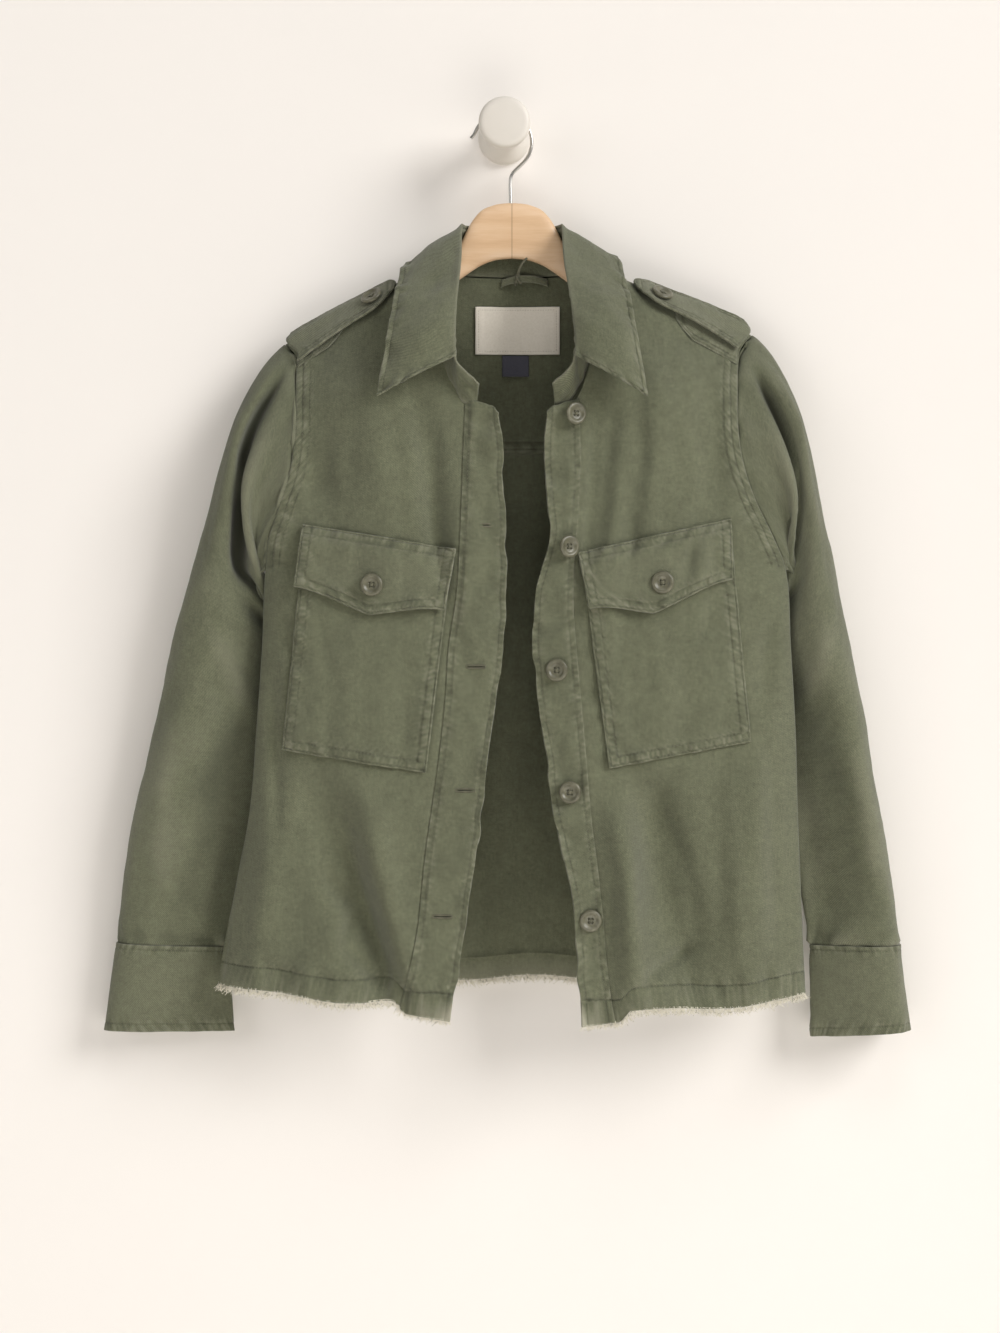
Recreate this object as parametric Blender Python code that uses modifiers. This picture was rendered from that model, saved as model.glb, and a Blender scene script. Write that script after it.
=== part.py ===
"""Military jacket, hung open on a wooden hanger whose wire hook hangs on a round wall peg.

The origin is the middle of the peg's flat back, which lies on the wall: the wall is the
plane y = 0 and everything is in front of it, at y < 0. X runs to the wearer's left, Z up.
Sizes below are in millimetres and become metres where a mesh is made. "Right" and "left"
are the wearer's. "out" is a distance from the jacket's centre line towards either side,
"along" runs from 0 at a piece's start to 1 at its end.
"""

import math

import bmesh
import bpy
import numpy as np
from mathutils import Matrix, Vector

MM = 0.001

# Driving sizes
MIDDLE = 6.4  # the jacket's centre line, beside the peg's
CLOTH = 1.2  # one layer of twill with its stitches
DOUBLE = 2.0  # a folded strip: placket, flap, cuff, strap
LEAF = 1.6  # collar leaf and stand, lightly faced
SEAM = 0.45  # half the gap between two pieces at a seam
LAID = 0.4  # air under a piece that lies on a panel
RIDGE_Y = -44.0  # the shoulder line, over the hanger
SHOULDER = {  # how the shoulder falls from its line: on the drop over the hanger's edge,
    # the share of its depth gained there, and on the drop at which it has its full depth
    "front": (15.0, 0.30, 105.0),
    "back": (11.0, 0.55, 60.0),
}
SIDE_GAP = 1.2  # the back's edge stays this far behind the front's at the side seam
NECK_OUT = 72.0  # where the shoulder seam meets the neckline
NECK_HOLLOW = 63.0  # inside this the neckline runs free of the hanger
NECK_END = -235.0  # height at which the neckline reaches the placket
YOKE_SEAM = -275.0
UNDERARM = -378.0
HEM = -745.0  # height that the panels' rows run to
FRONT_HEMS = {"right": (-742.0, -730.0), "left": (-748.0, -740.0)}  # in front, at the side
BACK_HEM = -731.0
HEM_WAVE = 2.6
HEM_DROP = 10.0  # the corners beside the opening hang this much lower
HEM_CORNER = 102.0  # the drop starts this far out
HEM_CORNER_WIDTH = 14.0
BACK_NECK = -126.0
PLACKET_SLANT = 9.0  # the placket's top falls this far towards its edge
PLACKET_CURL = 3.0  # its free edge waves in and out
SLEEVE = 535.0  # armhole to cuff
SLEEVE_GAP = 0.85  # from the armhole's line to the sleeve's
ARMHOLE_BLEND = 0.16  # share of a sleeve that turns from the armhole's loop to a tube
RING_SKEW = 0.72  # a sleeve is fuller on its outer half
STAND_GAP = 2.1  # between the neckline and the stand
ROLL_RISE = 2.9  # where the leaf starts over the stand's top
ROLL_OUT = 1.3
POCKET_OFF = CLOTH + LAID  # between the middles of the two cloths
POCKET_BELLY = 2.5
FLAP_SEAT = CLOTH / 2 + LAID + DOUBLE / 2  # at its seam
FLAP_OFF = POCKET_OFF + POCKET_BELLY + CLOTH / 2 + LAID + DOUBLE / 2  # over the pocket
STRAP_BASE_OFF = CLOTH + LAID + 0.35
STRAP_OFF = STRAP_BASE_OFF + CLOTH / 2 + LAID + DOUBLE / 2
LABEL_THICK = 1.0
LABEL_OFF = CLOTH / 2 + LAID + LABEL_THICK / 2
BUTTON_STEPS = 12
PEG_LENGTH = 72.0
PEG_RADIUS = 22.0
PEG_WAIST = 12.0
WIRE = 3.0
HOOK_RADIUS = 25.0
HOOK_Y = -40.0
BUTTON = 19.0
BUTTON_THICK = 3.2

SIDES = {"right": -1.0, "left": 1.0}

# The body's outline on each side: height, distance out, depth of the front panel's edge and
# of the back panel's. Down to the underarm it is the armhole, below that the side fold.
OUTLINE = {
    "right": (
        (-186, 194, -62, -37),
        (-204, 183.5, -72, -33),
        (-254, 183, -77, -31),
        (-303, 189, -79, -33),
        (-333, 199, -77, -40),
        (-356, 206.5, -72, -50),
        (UNDERARM, 209, -64, -64),
        (-444, 212, -63, -63),
        (-516, 217, -63, -63),
        (-582, 222.5, -61, -61),
        (-652, 235.5, -59, -59),
        (-703, 244, -58, -58),
        (-750, 251, -57, -57),
    ),
    "left": (
        (-178, 205, -62, -37),
        (-201, 192.5, -72, -33),
        (-250, 190.5, -77, -31),
        (-290, 195, -79, -33),
        (-320, 205, -77, -40),
        (-350, 220, -72, -50),
        (UNDERARM, 232, -64, -64),
        (-444, 236.5, -63, -63),
        (-516, 240.5, -63, -63),
        (-582, 242.5, -61, -61),
        (-652, 245.5, -59, -59),
        (-703, 247.5, -58, -58),
        (-750, 250, -57, -57),
    ),
}

# The shoulder line: distance out, height on the right and on the left.
RIDGE = (
    (NECK_OUT, -119, -120),
    (105, -137, -134),
    (150, -162, -153),
    (194, -186, -173),
    (206, -192, -178.5),
)

# Down the middle of the body: height, front depth, back depth.
DEPTHS = (
    (-110, -84, -27),
    (-180, -92, -24),
    (-240, -97, -20),
    (-378, -97, -17),
    (-560, -96, -15),
    (-750, -97, -14),
)

# The open fronts: height, placket seam and placket edge, as distances to the wearer's left of
# the centre line.
OPENING = {
    "right": (
        (-235, -39.5, -10.5),
        (-285, -41.5, -7.8),
        (-360, -44.5, -5.0),
        (-405, -47.5, -5.0),
        (-444, -53.5, -7.0),
        (-490, -56.5, -12.7),
        (-540, -62.0, -20.2),
        (-614, -72.5, -29.0),
        (-682, -80.5, -39.4),
        (-732, -92.0, -50.2),
        (-760, -97.0, -56.0),
    ),
    "left": (
        (-235, 56.0, 29.0),
        (-287, 57.5, 26.5),
        (-341, 55.0, 31.5),
        (-368, 53.0, 28.0),
        (-397, 51.6, 19.0),
        (-422, 52.2, 17.5),
        (-450, 54.5, 18.1),
        (-490, 58.0, 21.5),
        (-540, 62.5, 29.0),
        (-587, 66.5, 35.6),
        (-626, 71.5, 44.0),
        (-660, 75.5, 51.5),
        (-706, 80.5, 54.8),
        (-760, 89.0, 59.5),
    ),
}

# The neckline from the shoulder to the placket: height, distance out on the right and left.
NECKLINE = (
    (-119, NECK_OUT, NECK_OUT),
    (-150, 73, 74),
    (-190, 62, 70),
    (-215, 49, 63),
    (NECK_END, 39.5, 56),
)

# How a front's rows run down to the underarm: share of the way, height at the opening.
UPPER_ROWS = ((0.00, -119), (0.25, -172), (0.50, -232), (0.75, -302), (1.00, UNDERARM))
UPPER_SHARE = 0.42  # of a panel's rows
TOP_ROWS = 0.3  # share of the rows that are packed towards the shoulder line

# Soft folds of the body: on which panel, side, its upper and lower end (out, height), its
# width and its depth. A trough has a negative depth.
FOLDS = (
    ("front", "right", (134, -640), (94, -750), 15, -7.0),
    ("front", "right", (165, -600), (150, -750), 26, 4.0),
    ("front", "right", (120, -215), (112, -345), 22, 3.5),
    ("front", "right", (85, -230), (70, -350), 14, -3.0),
    ("front", "right", (214, -420), (205, -700), 16, -3.0),
    ("front", "left", (112, -560), (158, -715), 27, -7.0),
    ("front", "left", (92, -580), (104, -750), 18, 4.0),
    ("front", "left", (205, -560), (208, -750), 24, 4.5),
    ("front", "left", (128, -210), (138, -335), 22, 3.5),
    ("front", "left", (90, -225), (95, -350), 13, -3.0),
    ("back", "right", (130, -330), (165, -740), 28, 4.5),
    ("back", "right", (60, -420), (85, -740), 22, -3.5),
    ("back", "left", (150, -320), (175, -740), 28, 4.5),
    ("back", "left", (55, -480), (70, -740), 24, -3.0),
)

# Rings of a sleeve: along, outer point (out, height), inner point (out, height), depth of the
# outer and of the inner point, half thickness.
SLEEVE_RINGS = {
    "right": (
        (0.00, 194, -186, 209, -380, -44, -62, 20),
        (0.06, 216, -204, 223, -390, -45, -54, 25),
        (0.16, 238, -252, 210, -408, -44, -43, 29),
        (0.28, 259, -328, 187, -433, -42, -28, 28),
        (0.42, 281, -405, 162, -468, -39, -21, 25),
        (0.58, 302, -495, 168, -530, -35, -20, 22),
        (0.80, 327, -608, 208, -616, -30, -22, 17),
        (1.00, 340, -698, 247, -702, -27, -26, 13),
    ),
    "left": (
        (0.00, 205, -178.5, 232, -380, -44, -62, 20),
        (0.06, 228, -200, 248, -389, -45, -54, 25),
        (0.16, 247, -248, 234, -408, -44, -43, 29),
        (0.28, 264, -325, 215, -433, -42, -30, 29),
        (0.42, 281, -400, 203, -466, -39, -26, 27),
        (0.58, 300, -492, 220, -522, -36, -28, 25),
        (0.80, 319, -603, 250, -606, -33, -30, 22),
        (1.00, 333, -699, 262, -700, -31, -29, 19),
    ),
}

# A cuff's open edge, as a ring of a sleeve without its first column.
CUFF_EDGES = {
    "right": (351, -774.5, 240, -775.5, -26, -25, 10),
    "left": (342, -772.5, 259, -779.5, -31, -30, 20),
}

# Soft folds of a sleeve: side, start and end (along, degrees round it), width and depth. It
# is 0 degrees on the outer side, 90 in front and 180 inside.
SLEEVE_FOLDS = (
    ("right", (0.06, 50), (0.40, 95), 15, -6.0),
    ("right", (0.10, 85), (0.36, 118), 12, 4.0),
    ("right", (0.40, 60), (0.80, 45), 18, 3.0),
    ("right", (0.42, 105), (0.55, 70), 11, -3.5),
    ("right", (0.15, 290), (0.55, 250), 18, -4.0),
    ("right", (0.55, 300), (0.95, 280), 16, 3.0),
    ("left", (0.07, 50), (0.38, 92), 15, -6.0),
    ("left", (0.10, 85), (0.34, 115), 12, 4.0),
    ("left", (0.38, 70), (0.85, 50), 18, 3.0),
    ("left", (0.44, 110), (0.62, 75), 12, -3.5),
    ("left", (0.15, 290), (0.55, 250), 18, -4.0),
    ("left", (0.50, 310), (0.90, 285), 16, 3.0),
)

# Half a collar, from the stand's front end to the middle of the back: along, neckline
# (out, height), top of the stand and leaf edge (out, depth, height), and how far the leaf
# stands off the straight line between these two. The leaf starts at LEAF_START.
LEAF_START = 0.10
COLLAR = (
    (0.00, (29, -237), (28, -107, -226), (112, -116, -237), 6),
    (0.10, (43, -233), (46, -112, -206), (112, -116, -237), 6),
    (0.28, (63, -188), (48, -106, -170), (104, -107, -186), 6),
    (0.50, (73, -142), (45, -80, -122), (97, -84, -143), 3),
    (0.66, (NECK_OUT, -119), (43, -46, -86), (88, -46, -116), 0.8),
    (0.74, (67, -122), (37, -37, -86), (74, -27, -131), 2),
    (0.84, (47, -124), (28, -29, -88), (54, -17, -142), 5),
    (1.00, (0, -126), (0, -27, -91), (0, -14, -149), 6),
)
LEFT_SPREAD = 6.0  # the left half of the collar is opened this much wider in front
LEAF_WAVE = 1.6

# Patch pockets: top inner, top outer, bottom outer and bottom inner corner, as distances to
# the wearer's left of the centre line, and heights. The top is under the flap.
POCKETS = {
    "right": ((-51, -376), (-175, -357), (-193, -531), (-72, -550)),
    "left": ((59, -381), (184, -353), (200, -524), (81, -546)),
}

# Their flaps: the corners in the same order, how far the point hangs under the lower edge
# and its place along it from the inner side.
FLAPS = {
    "right": ((-47, -363), (-176, -341.5), (-183, -394), (-56.5, -414), 14, 0.5),
    "left": ((55, -366), (184, -337), (184.5, -388), (64, -413), 15, 0.45),
}
FLAP_LIFT = 3.2

# Shoulder straps: distance out of the sleeve end and of the point, half width, how far the
# middle lies in front of the shoulder line, and how stiff the strip is: 0 wraps the shoulder,
# 1 stays flat across and stands over it.
STRAPS = {
    "right": (192.5, 99, 19.5, 11, 0.8),
    "left": (203.5, 104, 19.5, 8.5, 0.9),
}
# The patches under them, which show in front of the straps.
STRAP_BASES = {
    "right": (192.5, 142, 15, 19, 0),
    "left": (203.5, 139, 17, 23.5, 0),
}
STRAP_END = 1.2  # a strap ends this far inside the armhole

# Buttons: the piece that each is sewn to, distance to the wearer's left of the centre line,
# height, and the turn of the face about Z in degrees.
BUTTONS = (
    ("placket_1", "placket_left", 50.5, -250, 28),
    ("placket_2", "placket_left", 43.8, -361, 30),
    ("placket_3", "placket_left", 37.5, -464, -8),
    ("placket_4", "placket_left", 48.5, -566, -6),
    ("placket_5", "placket_left", 65.0, -673, 4),
    ("flap_right", "flap_right", -117.0, -393, 0),
    ("flap_left", "flap_left", 125.0, -391, 0),
)
# A strap's button: from the strap's point, and its place across from back to front.
STRAP_BUTTONS = {"right": (19, 0.62), "left": (23, 0.62)}

# The hanger: distance out, top (past the neck: how far it is under the shoulder line),
# bottom height, depth of its middle, half thickness.
HANGER_NECK = (
    (0, -63, -111, -40, 6.0),
    (16, -65.3, -113, -40, 6.0),
    (28, -72.5, -118, -40.5, 5.6),
    (34, -83, -122, -41, 5.4),
    (44, -98, -129, -42, 6.0),
    (72, -127, -149, -44.5, 6.5),
)
HANGER_ARM = (
    (105, 1.9, -166, -46, 8.0),
    (150, 2.6, -188, -47.3, 7.0),
    (172, 3.6, -198, -47, 6.5),
    (183, 7.5, -201, -47, 5.0),
)

LABEL = (73.0, 41.0)
LABEL_MIDDLE = (4.9, -171.0)
TAB = (23.0, 18.0)
TAB_TOP = (3.2, -192.5)
LOOP_WIDTH = 6.0
LOOP_ROOTS = (-9.0, 31.0)
LOOP_DOWN = 5.2
LOOP_RISE = 4.0
LOOP_BOW = 4.0
LOOP_THICK = 1.0

CARRIER_FINER = 8  # points along a cell's side where a piece carries another
LAID_REACH = 3.2

COLOURS = {  # base colour, roughness, metallic
    "twill": ((0.115, 0.125, 0.072), 0.92, 0.0),
    "twill_facing": ((0.125, 0.135, 0.080), 0.92, 0.0),
    "label": ((0.52, 0.47, 0.38), 0.85, 0.0),
    "tab": ((0.018, 0.018, 0.026), 0.8, 0.0),
    "button": ((0.145, 0.140, 0.095), 0.45, 0.0),
    "wood": ((0.74, 0.52, 0.33), 0.42, 0.0),
    "wire": ((0.62, 0.61, 0.58), 0.3, 1.0),
    "paint": ((0.80, 0.74, 0.66), 0.5, 0.0),
}


def smooth_table(rows):
    """A smooth function, with no overshoot, through rows whose first column is the place."""
    at = np.array([row[0] for row in rows], float)
    order = np.argsort(at)
    at = at[order]
    values = np.array([np.hstack(row[1:]) for row in rows], float)[order]
    slopes = np.gradient(values, at, axis=0)
    rates = np.diff(values, axis=0) / np.diff(at)[:, None]
    before = np.vstack([rates[:1], rates])
    after = np.vstack([rates, rates[-1:]])
    steepest = 3 * np.minimum(abs(before), abs(after)) * (before * after > 0)
    slopes = np.clip(slopes, -steepest, steepest)

    def read(place):
        place = min(max(place, at[0]), at[-1])
        i = min(int(np.searchsorted(at, place, side="right")) - 1, len(at) - 2)
        span = at[i + 1] - at[i]
        t = (place - at[i]) / span
        near = (1 + 2 * t) * (1 - t) ** 2 * values[i] + t * t * (3 - 2 * t) * values[i + 1]
        bend = t * (1 - t) ** 2 * slopes[i] - t * t * (1 - t) * slopes[i + 1]
        return near + bend * span

    return read


outline = {side: smooth_table(rows) for side, rows in OUTLINE.items()}
ridge = smooth_table(RIDGE)
depths = smooth_table(DEPTHS)
opening = {side: smooth_table(rows) for side, rows in OPENING.items()}
neckline = smooth_table(NECKLINE)
collar_line = smooth_table(COLLAR)
sleeve_ring = {side: smooth_table(rows) for side, rows in SLEEVE_RINGS.items()}
upper_rows = smooth_table(UPPER_ROWS)
hanger_line = (smooth_table(HANGER_NECK), smooth_table(HANGER_ARM))


carriers = {}  # points of each cloth piece made so far, with its wall: others are laid on them


def mix(a, b, share):
    return a + (b - a) * share


def ease(t):
    t = min(max(t, 0.0), 1.0)
    return t * t * (3 - 2 * t)


def side_of(across):
    """The side on which a distance to the wearer's left of the centre line lies."""
    return "left" if across > 0 else "right"


def ridge_height(across):
    """The height of the shoulder line, which runs level inside the neck."""
    heights = ridge(max(abs(across), NECK_OUT))
    return heights[0 if across < 0 else 1]


def fold_depth(panel, across, height):
    total = 0.0
    for place, side, (out_a, high), (out_b, low), width, depth in FOLDS:
        if place != panel or SIDES[side] * across < 0:
            continue
        a = Vector((out_a, high))
        b = Vector((out_b, low))
        line = b - a
        here = Vector((abs(across), height)) - a
        along = here.dot(line) / line.length_squared
        away = abs(here.x * line.y - here.y * line.x) / line.length
        ends = ease((along + 0.15) / 0.45) * ease((1.5 - along) / 0.45)
        total += depth * ends * math.exp(-((away / width) ** 2))
    return total


def shoulder_share(panel, drop):
    """The share of its depth that a panel has at a drop below the shoulder line."""
    edge, gained, reach = SHOULDER[panel]
    over = 1 - min(max(drop, 0.0) / edge, 1.0)
    down = min(max(drop, 0.0) / reach, 1.0)
    return gained * math.sqrt(1 - over**2) + (1 - gained) * math.sin(math.pi / 2 * down)


def over_shoulder(panel, across, height, depth):
    """A depth brought back to the shoulder line near the top, round as over the hanger."""
    share = shoulder_share(panel, ridge_height(across) - height)
    held = ease((abs(across) - NECK_HOLLOW) / (NECK_OUT - NECK_HOLLOW))
    return mix(depth, mix(RIDGE_Y, depth, share), held)


def front_depth(across, height):
    side = side_of(across)
    out, edge, _ = outline[side](height)
    share = min(abs(across) / out, 1.0)
    below = ease((UNDERARM + 60 - height) / 90)
    flat = (1 - share**3) ** mix(1.0, 0.62, below)
    depth = mix(edge, depths(height)[0], flat)
    depth -= fold_depth("front", across, height) * ease((1 - share) * 6)
    return over_shoulder("front", across, height, depth) - SEAM


def back_depth(across, height):
    side = side_of(across)
    out, _, edge = outline[side](height)
    share = min(abs(across) / out, 1.0)
    below = ease((UNDERARM + 60 - height) / 90)
    flat = (1 - share**1.7) ** mix(1.0, 0.85, below)
    depth = mix(edge, depths(height)[1], flat)
    depth += fold_depth("back", across, height) * ease((1 - share) * 6)
    depth += SIDE_GAP * ease((UNDERARM + 50 - height) / 40) * share**24
    return over_shoulder("back", across, height, depth) + SEAM


def at(across, depth, height):
    return Vector((MIDDLE + across, depth, height))


def material(name):
    found = bpy.data.materials.get(name)
    if found:
        return found
    colour, roughness, metallic = COLOURS[name.split(".")[-1]]
    made = bpy.data.materials.new(name)
    made.use_nodes = True
    shader = made.node_tree.nodes["Principled BSDF"]
    shader.inputs["Base Color"].default_value = (*colour, 1)
    shader.inputs["Roughness"].default_value = roughness
    shader.inputs["Metallic"].default_value = metallic
    return made


def finish(piece, name, stuff):
    """Names a piece, gives it its own material and puts it in the jacket's collection."""
    piece.name = name
    piece.data.name = name
    piece.data.materials.clear()
    piece.data.materials.append(material(f"{name}.{stuff}"))
    for old in list(piece.users_collection):
        old.objects.unlink(piece)
    bpy.data.collections["military_jacket"].objects.link(piece)
    return piece


def piece_of(bm, name, stuff):
    bmesh.ops.recalc_face_normals(bm, faces=bm.faces)
    mesh = bpy.data.meshes.new(name)
    bm.to_mesh(mesh)
    bm.free()
    mesh.shade_smooth()
    piece = bpy.data.objects.new(name, mesh)
    bpy.data.collections["military_jacket"].objects.link(piece)
    return finish(piece, name, stuff)


def grid(columns, rows, place):
    """A sheet of cells whose points place(u, v) gives in millimetres."""
    bm = bmesh.new()
    bmesh.ops.create_grid(bm, x_segments=columns, y_segments=rows, size=0.5)
    for vert in bm.verts:
        u = min(max(vert.co.x + 0.5, 0.0), 1.0)
        v = min(max(vert.co.y + 0.5, 0.0), 1.0)
        vert.co = Vector(place(u, v)) * MM
    return bm


def net(columns, rows, place, finer):
    """Points of a sheet's flat cells, each cell divided finer, as one array."""
    corners = np.array([[place(i / columns, j / rows) for i in range(columns + 1)] for j in range(rows + 1)])
    down = np.linspace(0, rows, rows * finer + 1)
    right = np.linspace(0, columns, columns * finer + 1)
    j = np.minimum(down.astype(int), rows - 1)
    i = np.minimum(right.astype(int), columns - 1)
    b = (down - j)[:, None, None]
    a = (right - i)[None, :, None]
    upper = corners[j][:, i] * (1 - a) + corners[j][:, i + 1] * a
    lower = corners[j + 1][:, i] * (1 - a) + corners[j + 1][:, i + 1] * a
    return (upper * (1 - b) + lower * b).reshape(-1, 3)


def cloth(name, columns, rows, place, wall=CLOTH, stuff="twill", tube=False):
    """A cloth wall around the surface place(u, v); a tube's two long edges are sewn."""
    carriers[name] = (net(columns, rows, place, CARRIER_FINER), wall)
    bm = grid(columns, rows, place)
    if tube:
        bmesh.ops.remove_doubles(bm, verts=bm.verts, dist=0.01 * MM)
    piece = piece_of(bm, name, stuff)
    solid = piece.modifiers.new("wall", "SOLIDIFY")
    solid.thickness = wall * MM
    solid.offset = 0
    return piece


def closed_tube(name, around, along, place, stuff):
    """A solid bar whose skin place(u, v) gives, with flat ends."""
    bm = grid(around, along, place)
    bmesh.ops.remove_doubles(bm, verts=bm.verts, dist=0.01 * MM)
    open_edges = [edge for edge in bm.edges if edge.is_boundary]
    bmesh.ops.holes_fill(bm, edges=open_edges, sides=0)
    bmesh.ops.triangulate(bm, faces=[face for face in bm.faces if len(face.verts) > 4])
    return piece_of(bm, name, stuff)


def turned(name, profile, steps, stuff, place=Matrix()):
    """A solid of revolution about Z: the profile is radius and height, top to bottom."""
    bm = bmesh.new()
    points = [bm.verts.new(Vector((radius, 0, height)) * MM) for radius, height in profile]
    for a, b in zip(points, points[1:]):
        bm.edges.new((a, b))
    mesh = bpy.data.meshes.new(name)
    bm.to_mesh(mesh)
    bm.free()
    piece = bpy.data.objects.new(name, mesh)
    bpy.data.collections["military_jacket"].objects.link(piece)
    screw = piece.modifiers.new("turn", "SCREW")
    screw.steps = steps
    screw.render_steps = steps
    screw.use_merge_vertices = True
    screw.merge_threshold = 0.00001
    piece.matrix_world = place
    return finish(piece, name, stuff)


def hem_height(panel, across):
    """The raw hem hangs in shallow waves, and lies higher behind."""
    side = side_of(across)
    out = outline[side](HEM)[0]
    front, edge = FRONT_HEMS[side]
    middle = front if panel == "front" else BACK_HEM
    level = mix(edge, middle, 1 - min(abs(across) / out, 1) ** 4)
    if panel == "front":
        level -= HEM_DROP * ease((HEM_CORNER - abs(across)) / HEM_CORNER_WIDTH)
    return level + HEM_WAVE * math.sin(across / 24 + 0.6) * math.cos(across / 61)


def row_heights(side, v):
    """The heights of a panel's row at the middle and at the armhole or side."""
    tip = OUTLINE[side][0][0]
    if v < UPPER_SHARE:
        share = v / UPPER_SHARE
        return upper_rows(share)[0], mix(tip, UNDERARM, share)
    below = mix(UNDERARM, HEM, (v - UPPER_SHARE) / (1 - UPPER_SHARE))
    return below, below


def closer_on_top(v):
    """Rows lie closer where the shoulder rounds over."""
    return TOP_ROWS * (v / TOP_ROWS) ** 2.5 if v < TOP_ROWS else v


def spread_columns(u, v):
    """Columns are even at the top and lie closer near the side fold lower down."""
    return mix(u, math.sin(u * math.pi / 2) ** 0.9, ease((v - 0.25) / 0.3))


def front_place(side):
    """A front: u runs from the opening out to the armhole, v from the shoulder to the hem."""
    sign = SIDES[side]

    def place(u, v):
        v = closer_on_top(v)
        inner, outer = row_heights(side, v)
        if inner > NECK_END:
            start = sign * neckline(inner)[0 if side == "right" else 1]
        else:
            start = opening[side](inner)[0]
        start += sign * SEAM
        end = sign * (outline[side](outer)[0] - SEAM)
        share = spread_columns(u, v)
        across = mix(start, end, share)
        height = mix(inner, outer, share)
        height += (ridge_height(across) - mix(upper_rows(0)[0], OUTLINE[side][0][0], share)) * max(
            0.0, 1 - v / 0.08
        )
        height += (hem_height("front", across) - HEM) * ease((v - 0.85) / 0.15)
        return at(across, front_depth(across, height), height)

    return place


def back_top(across):
    """The top of the yoke: the shoulder lines and, between them, the neckline."""
    if abs(across) >= NECK_OUT:
        return ridge_height(across)
    return mix(BACK_NECK, ridge_height(across), (abs(across) / NECK_OUT) ** 3)


def yoke_place(u, v):
    """The yoke: u runs from the right armhole to the left one, v from the top down."""
    share = 2 * u - 1
    side = side_of(share)
    tip = OUTLINE[side][0][0]
    v = v**1.8
    outer = mix(tip, YOKE_SEAM, v)
    out = outline[side](outer)[0] - SEAM
    corner = (NECK_OUT - 1) / out
    if abs(share) < 0.4:
        across = share / 0.4 * corner * out
    else:
        across = math.copysign(mix(corner, 1, (abs(share) - 0.4) / 0.6) * out, share)
    top = back_top(across * (outline[side](tip)[0] - SEAM) / out)
    height = mix(top, YOKE_SEAM + SEAM, v)
    return at(across, back_depth(across, height), height)


def back_place(u, v):
    """The back: u runs from the right side to the left one, v from the yoke to the hem."""
    share = 2 * u - 1
    side = side_of(share)
    height = mix(YOKE_SEAM - SEAM, HEM, v)
    out = outline[side](height)[0] - SEAM
    near = spread_columns(abs(share), mix(0.4, 1, v))
    across = math.copysign(near * out, share)
    height += (hem_height("back", across) - HEM) * ease((v - 0.75) / 0.25)
    return at(across, back_depth(across, height), height)


def placket_place(side):
    """A placket: u runs from its seam to its free edge, v from the neck to the hem."""
    sign = SIDES[side]

    def place(u, v):
        height = mix(NECK_END - 1.5, HEM, v)
        seam, edge = opening[side](height)
        across = mix(seam - sign * SEAM, edge, u)
        height -= PLACKET_SLANT * u * (1 - v) ** 8
        height += (hem_height("front", across) - HEM) * ease((v - 0.8) / 0.2)
        height -= 4 * u * v**12
        roll = PLACKET_CURL * math.sin(9.5 * v + (0 if side == "left" else 1.5)) * u * u
        return at(across, front_depth(across, height) - roll, height)

    return place


def armhole_point(side, angle):
    """The armhole, 0 degrees at the shoulder, 90 in front and 180 at the underarm."""
    sign = SIDES[side]
    tip = OUTLINE[side][0][0]
    height = mix(UNDERARM, tip, 0.5 + 0.5 * math.cos(angle))
    out = outline[side](height)[0]
    depth = front_depth if math.sin(angle) > 0 else back_depth
    return at(sign * (out + SLEEVE_GAP), depth(sign * out, height), height)


def sleeve_fold(side, along, degrees, girth):
    total = 0.0
    for place, start, end, width, depth in SLEEVE_FOLDS:
        if place != side:
            continue
        a = Vector((start[0] * SLEEVE, start[1] / 360 * girth))
        b = Vector((end[0] * SLEEVE, end[1] / 360 * girth))
        line = b - a
        here = Vector((along * SLEEVE, degrees / 360 * girth)) - a
        share = here.dot(line) / line.length_squared
        away = abs(here.x * line.y - here.y * line.x) / line.length
        ends = ease((share + 0.2) / 0.4) * ease((1.2 - share) / 0.4)
        total += depth * ends * math.exp(-((away / width) ** 2))
    return total


def ring_point(side, ring, angle, swell=0.0):
    """A point on a ring of a sleeve or cuff, given by its outer and inner ends."""
    outer, outer_z, inner, inner_z, outer_y, inner_y, half = ring
    turn = math.cos(angle)
    across = (outer + inner) / 2 + (outer - inner) / 2 * turn
    height = (outer_z + inner_z) / 2 + (outer_z - inner_z) / 2 * turn
    depth = (outer_y + inner_y) / 2 + (outer_y - inner_y) / 2 * turn
    bulge = math.copysign(abs(math.sin(angle)) ** 0.85, math.sin(angle))
    depth -= bulge * (half + swell) * (1 + RING_SKEW * turn)
    return at(SIDES[side] * across, depth, height)


def sleeve_place(side):
    """A sleeve: u runs round it and v from the armhole to the cuff."""

    def place(u, v):
        degrees = 360 * (u % 1.0)
        angle = math.radians(degrees)
        ring = sleeve_ring[side](v)
        girth = 2.2 * math.hypot(ring[0] - ring[2], ring[1] - ring[3])
        fold = sleeve_fold(side, v, degrees, girth)
        free = ring_point(side, ring, angle, fold * ease(v / 0.1) * ease((1 - v) / 0.06))
        return armhole_point(side, angle).lerp(free, ease(v / ARMHOLE_BLEND))

    return place


def cuff_place(side):
    """A cuff: u runs round it and v from its seam to its edge."""
    top = sleeve_ring[side](1.0)

    def place(u, v):
        ring = [mix(a, b, v) for a, b in zip(top, CUFF_EDGES[side])]
        point = ring_point(side, ring, math.radians(360 * (u % 1.0)))
        return point - Vector((0, 0, 2 * SEAM * (1 - v)))

    return place


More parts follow.
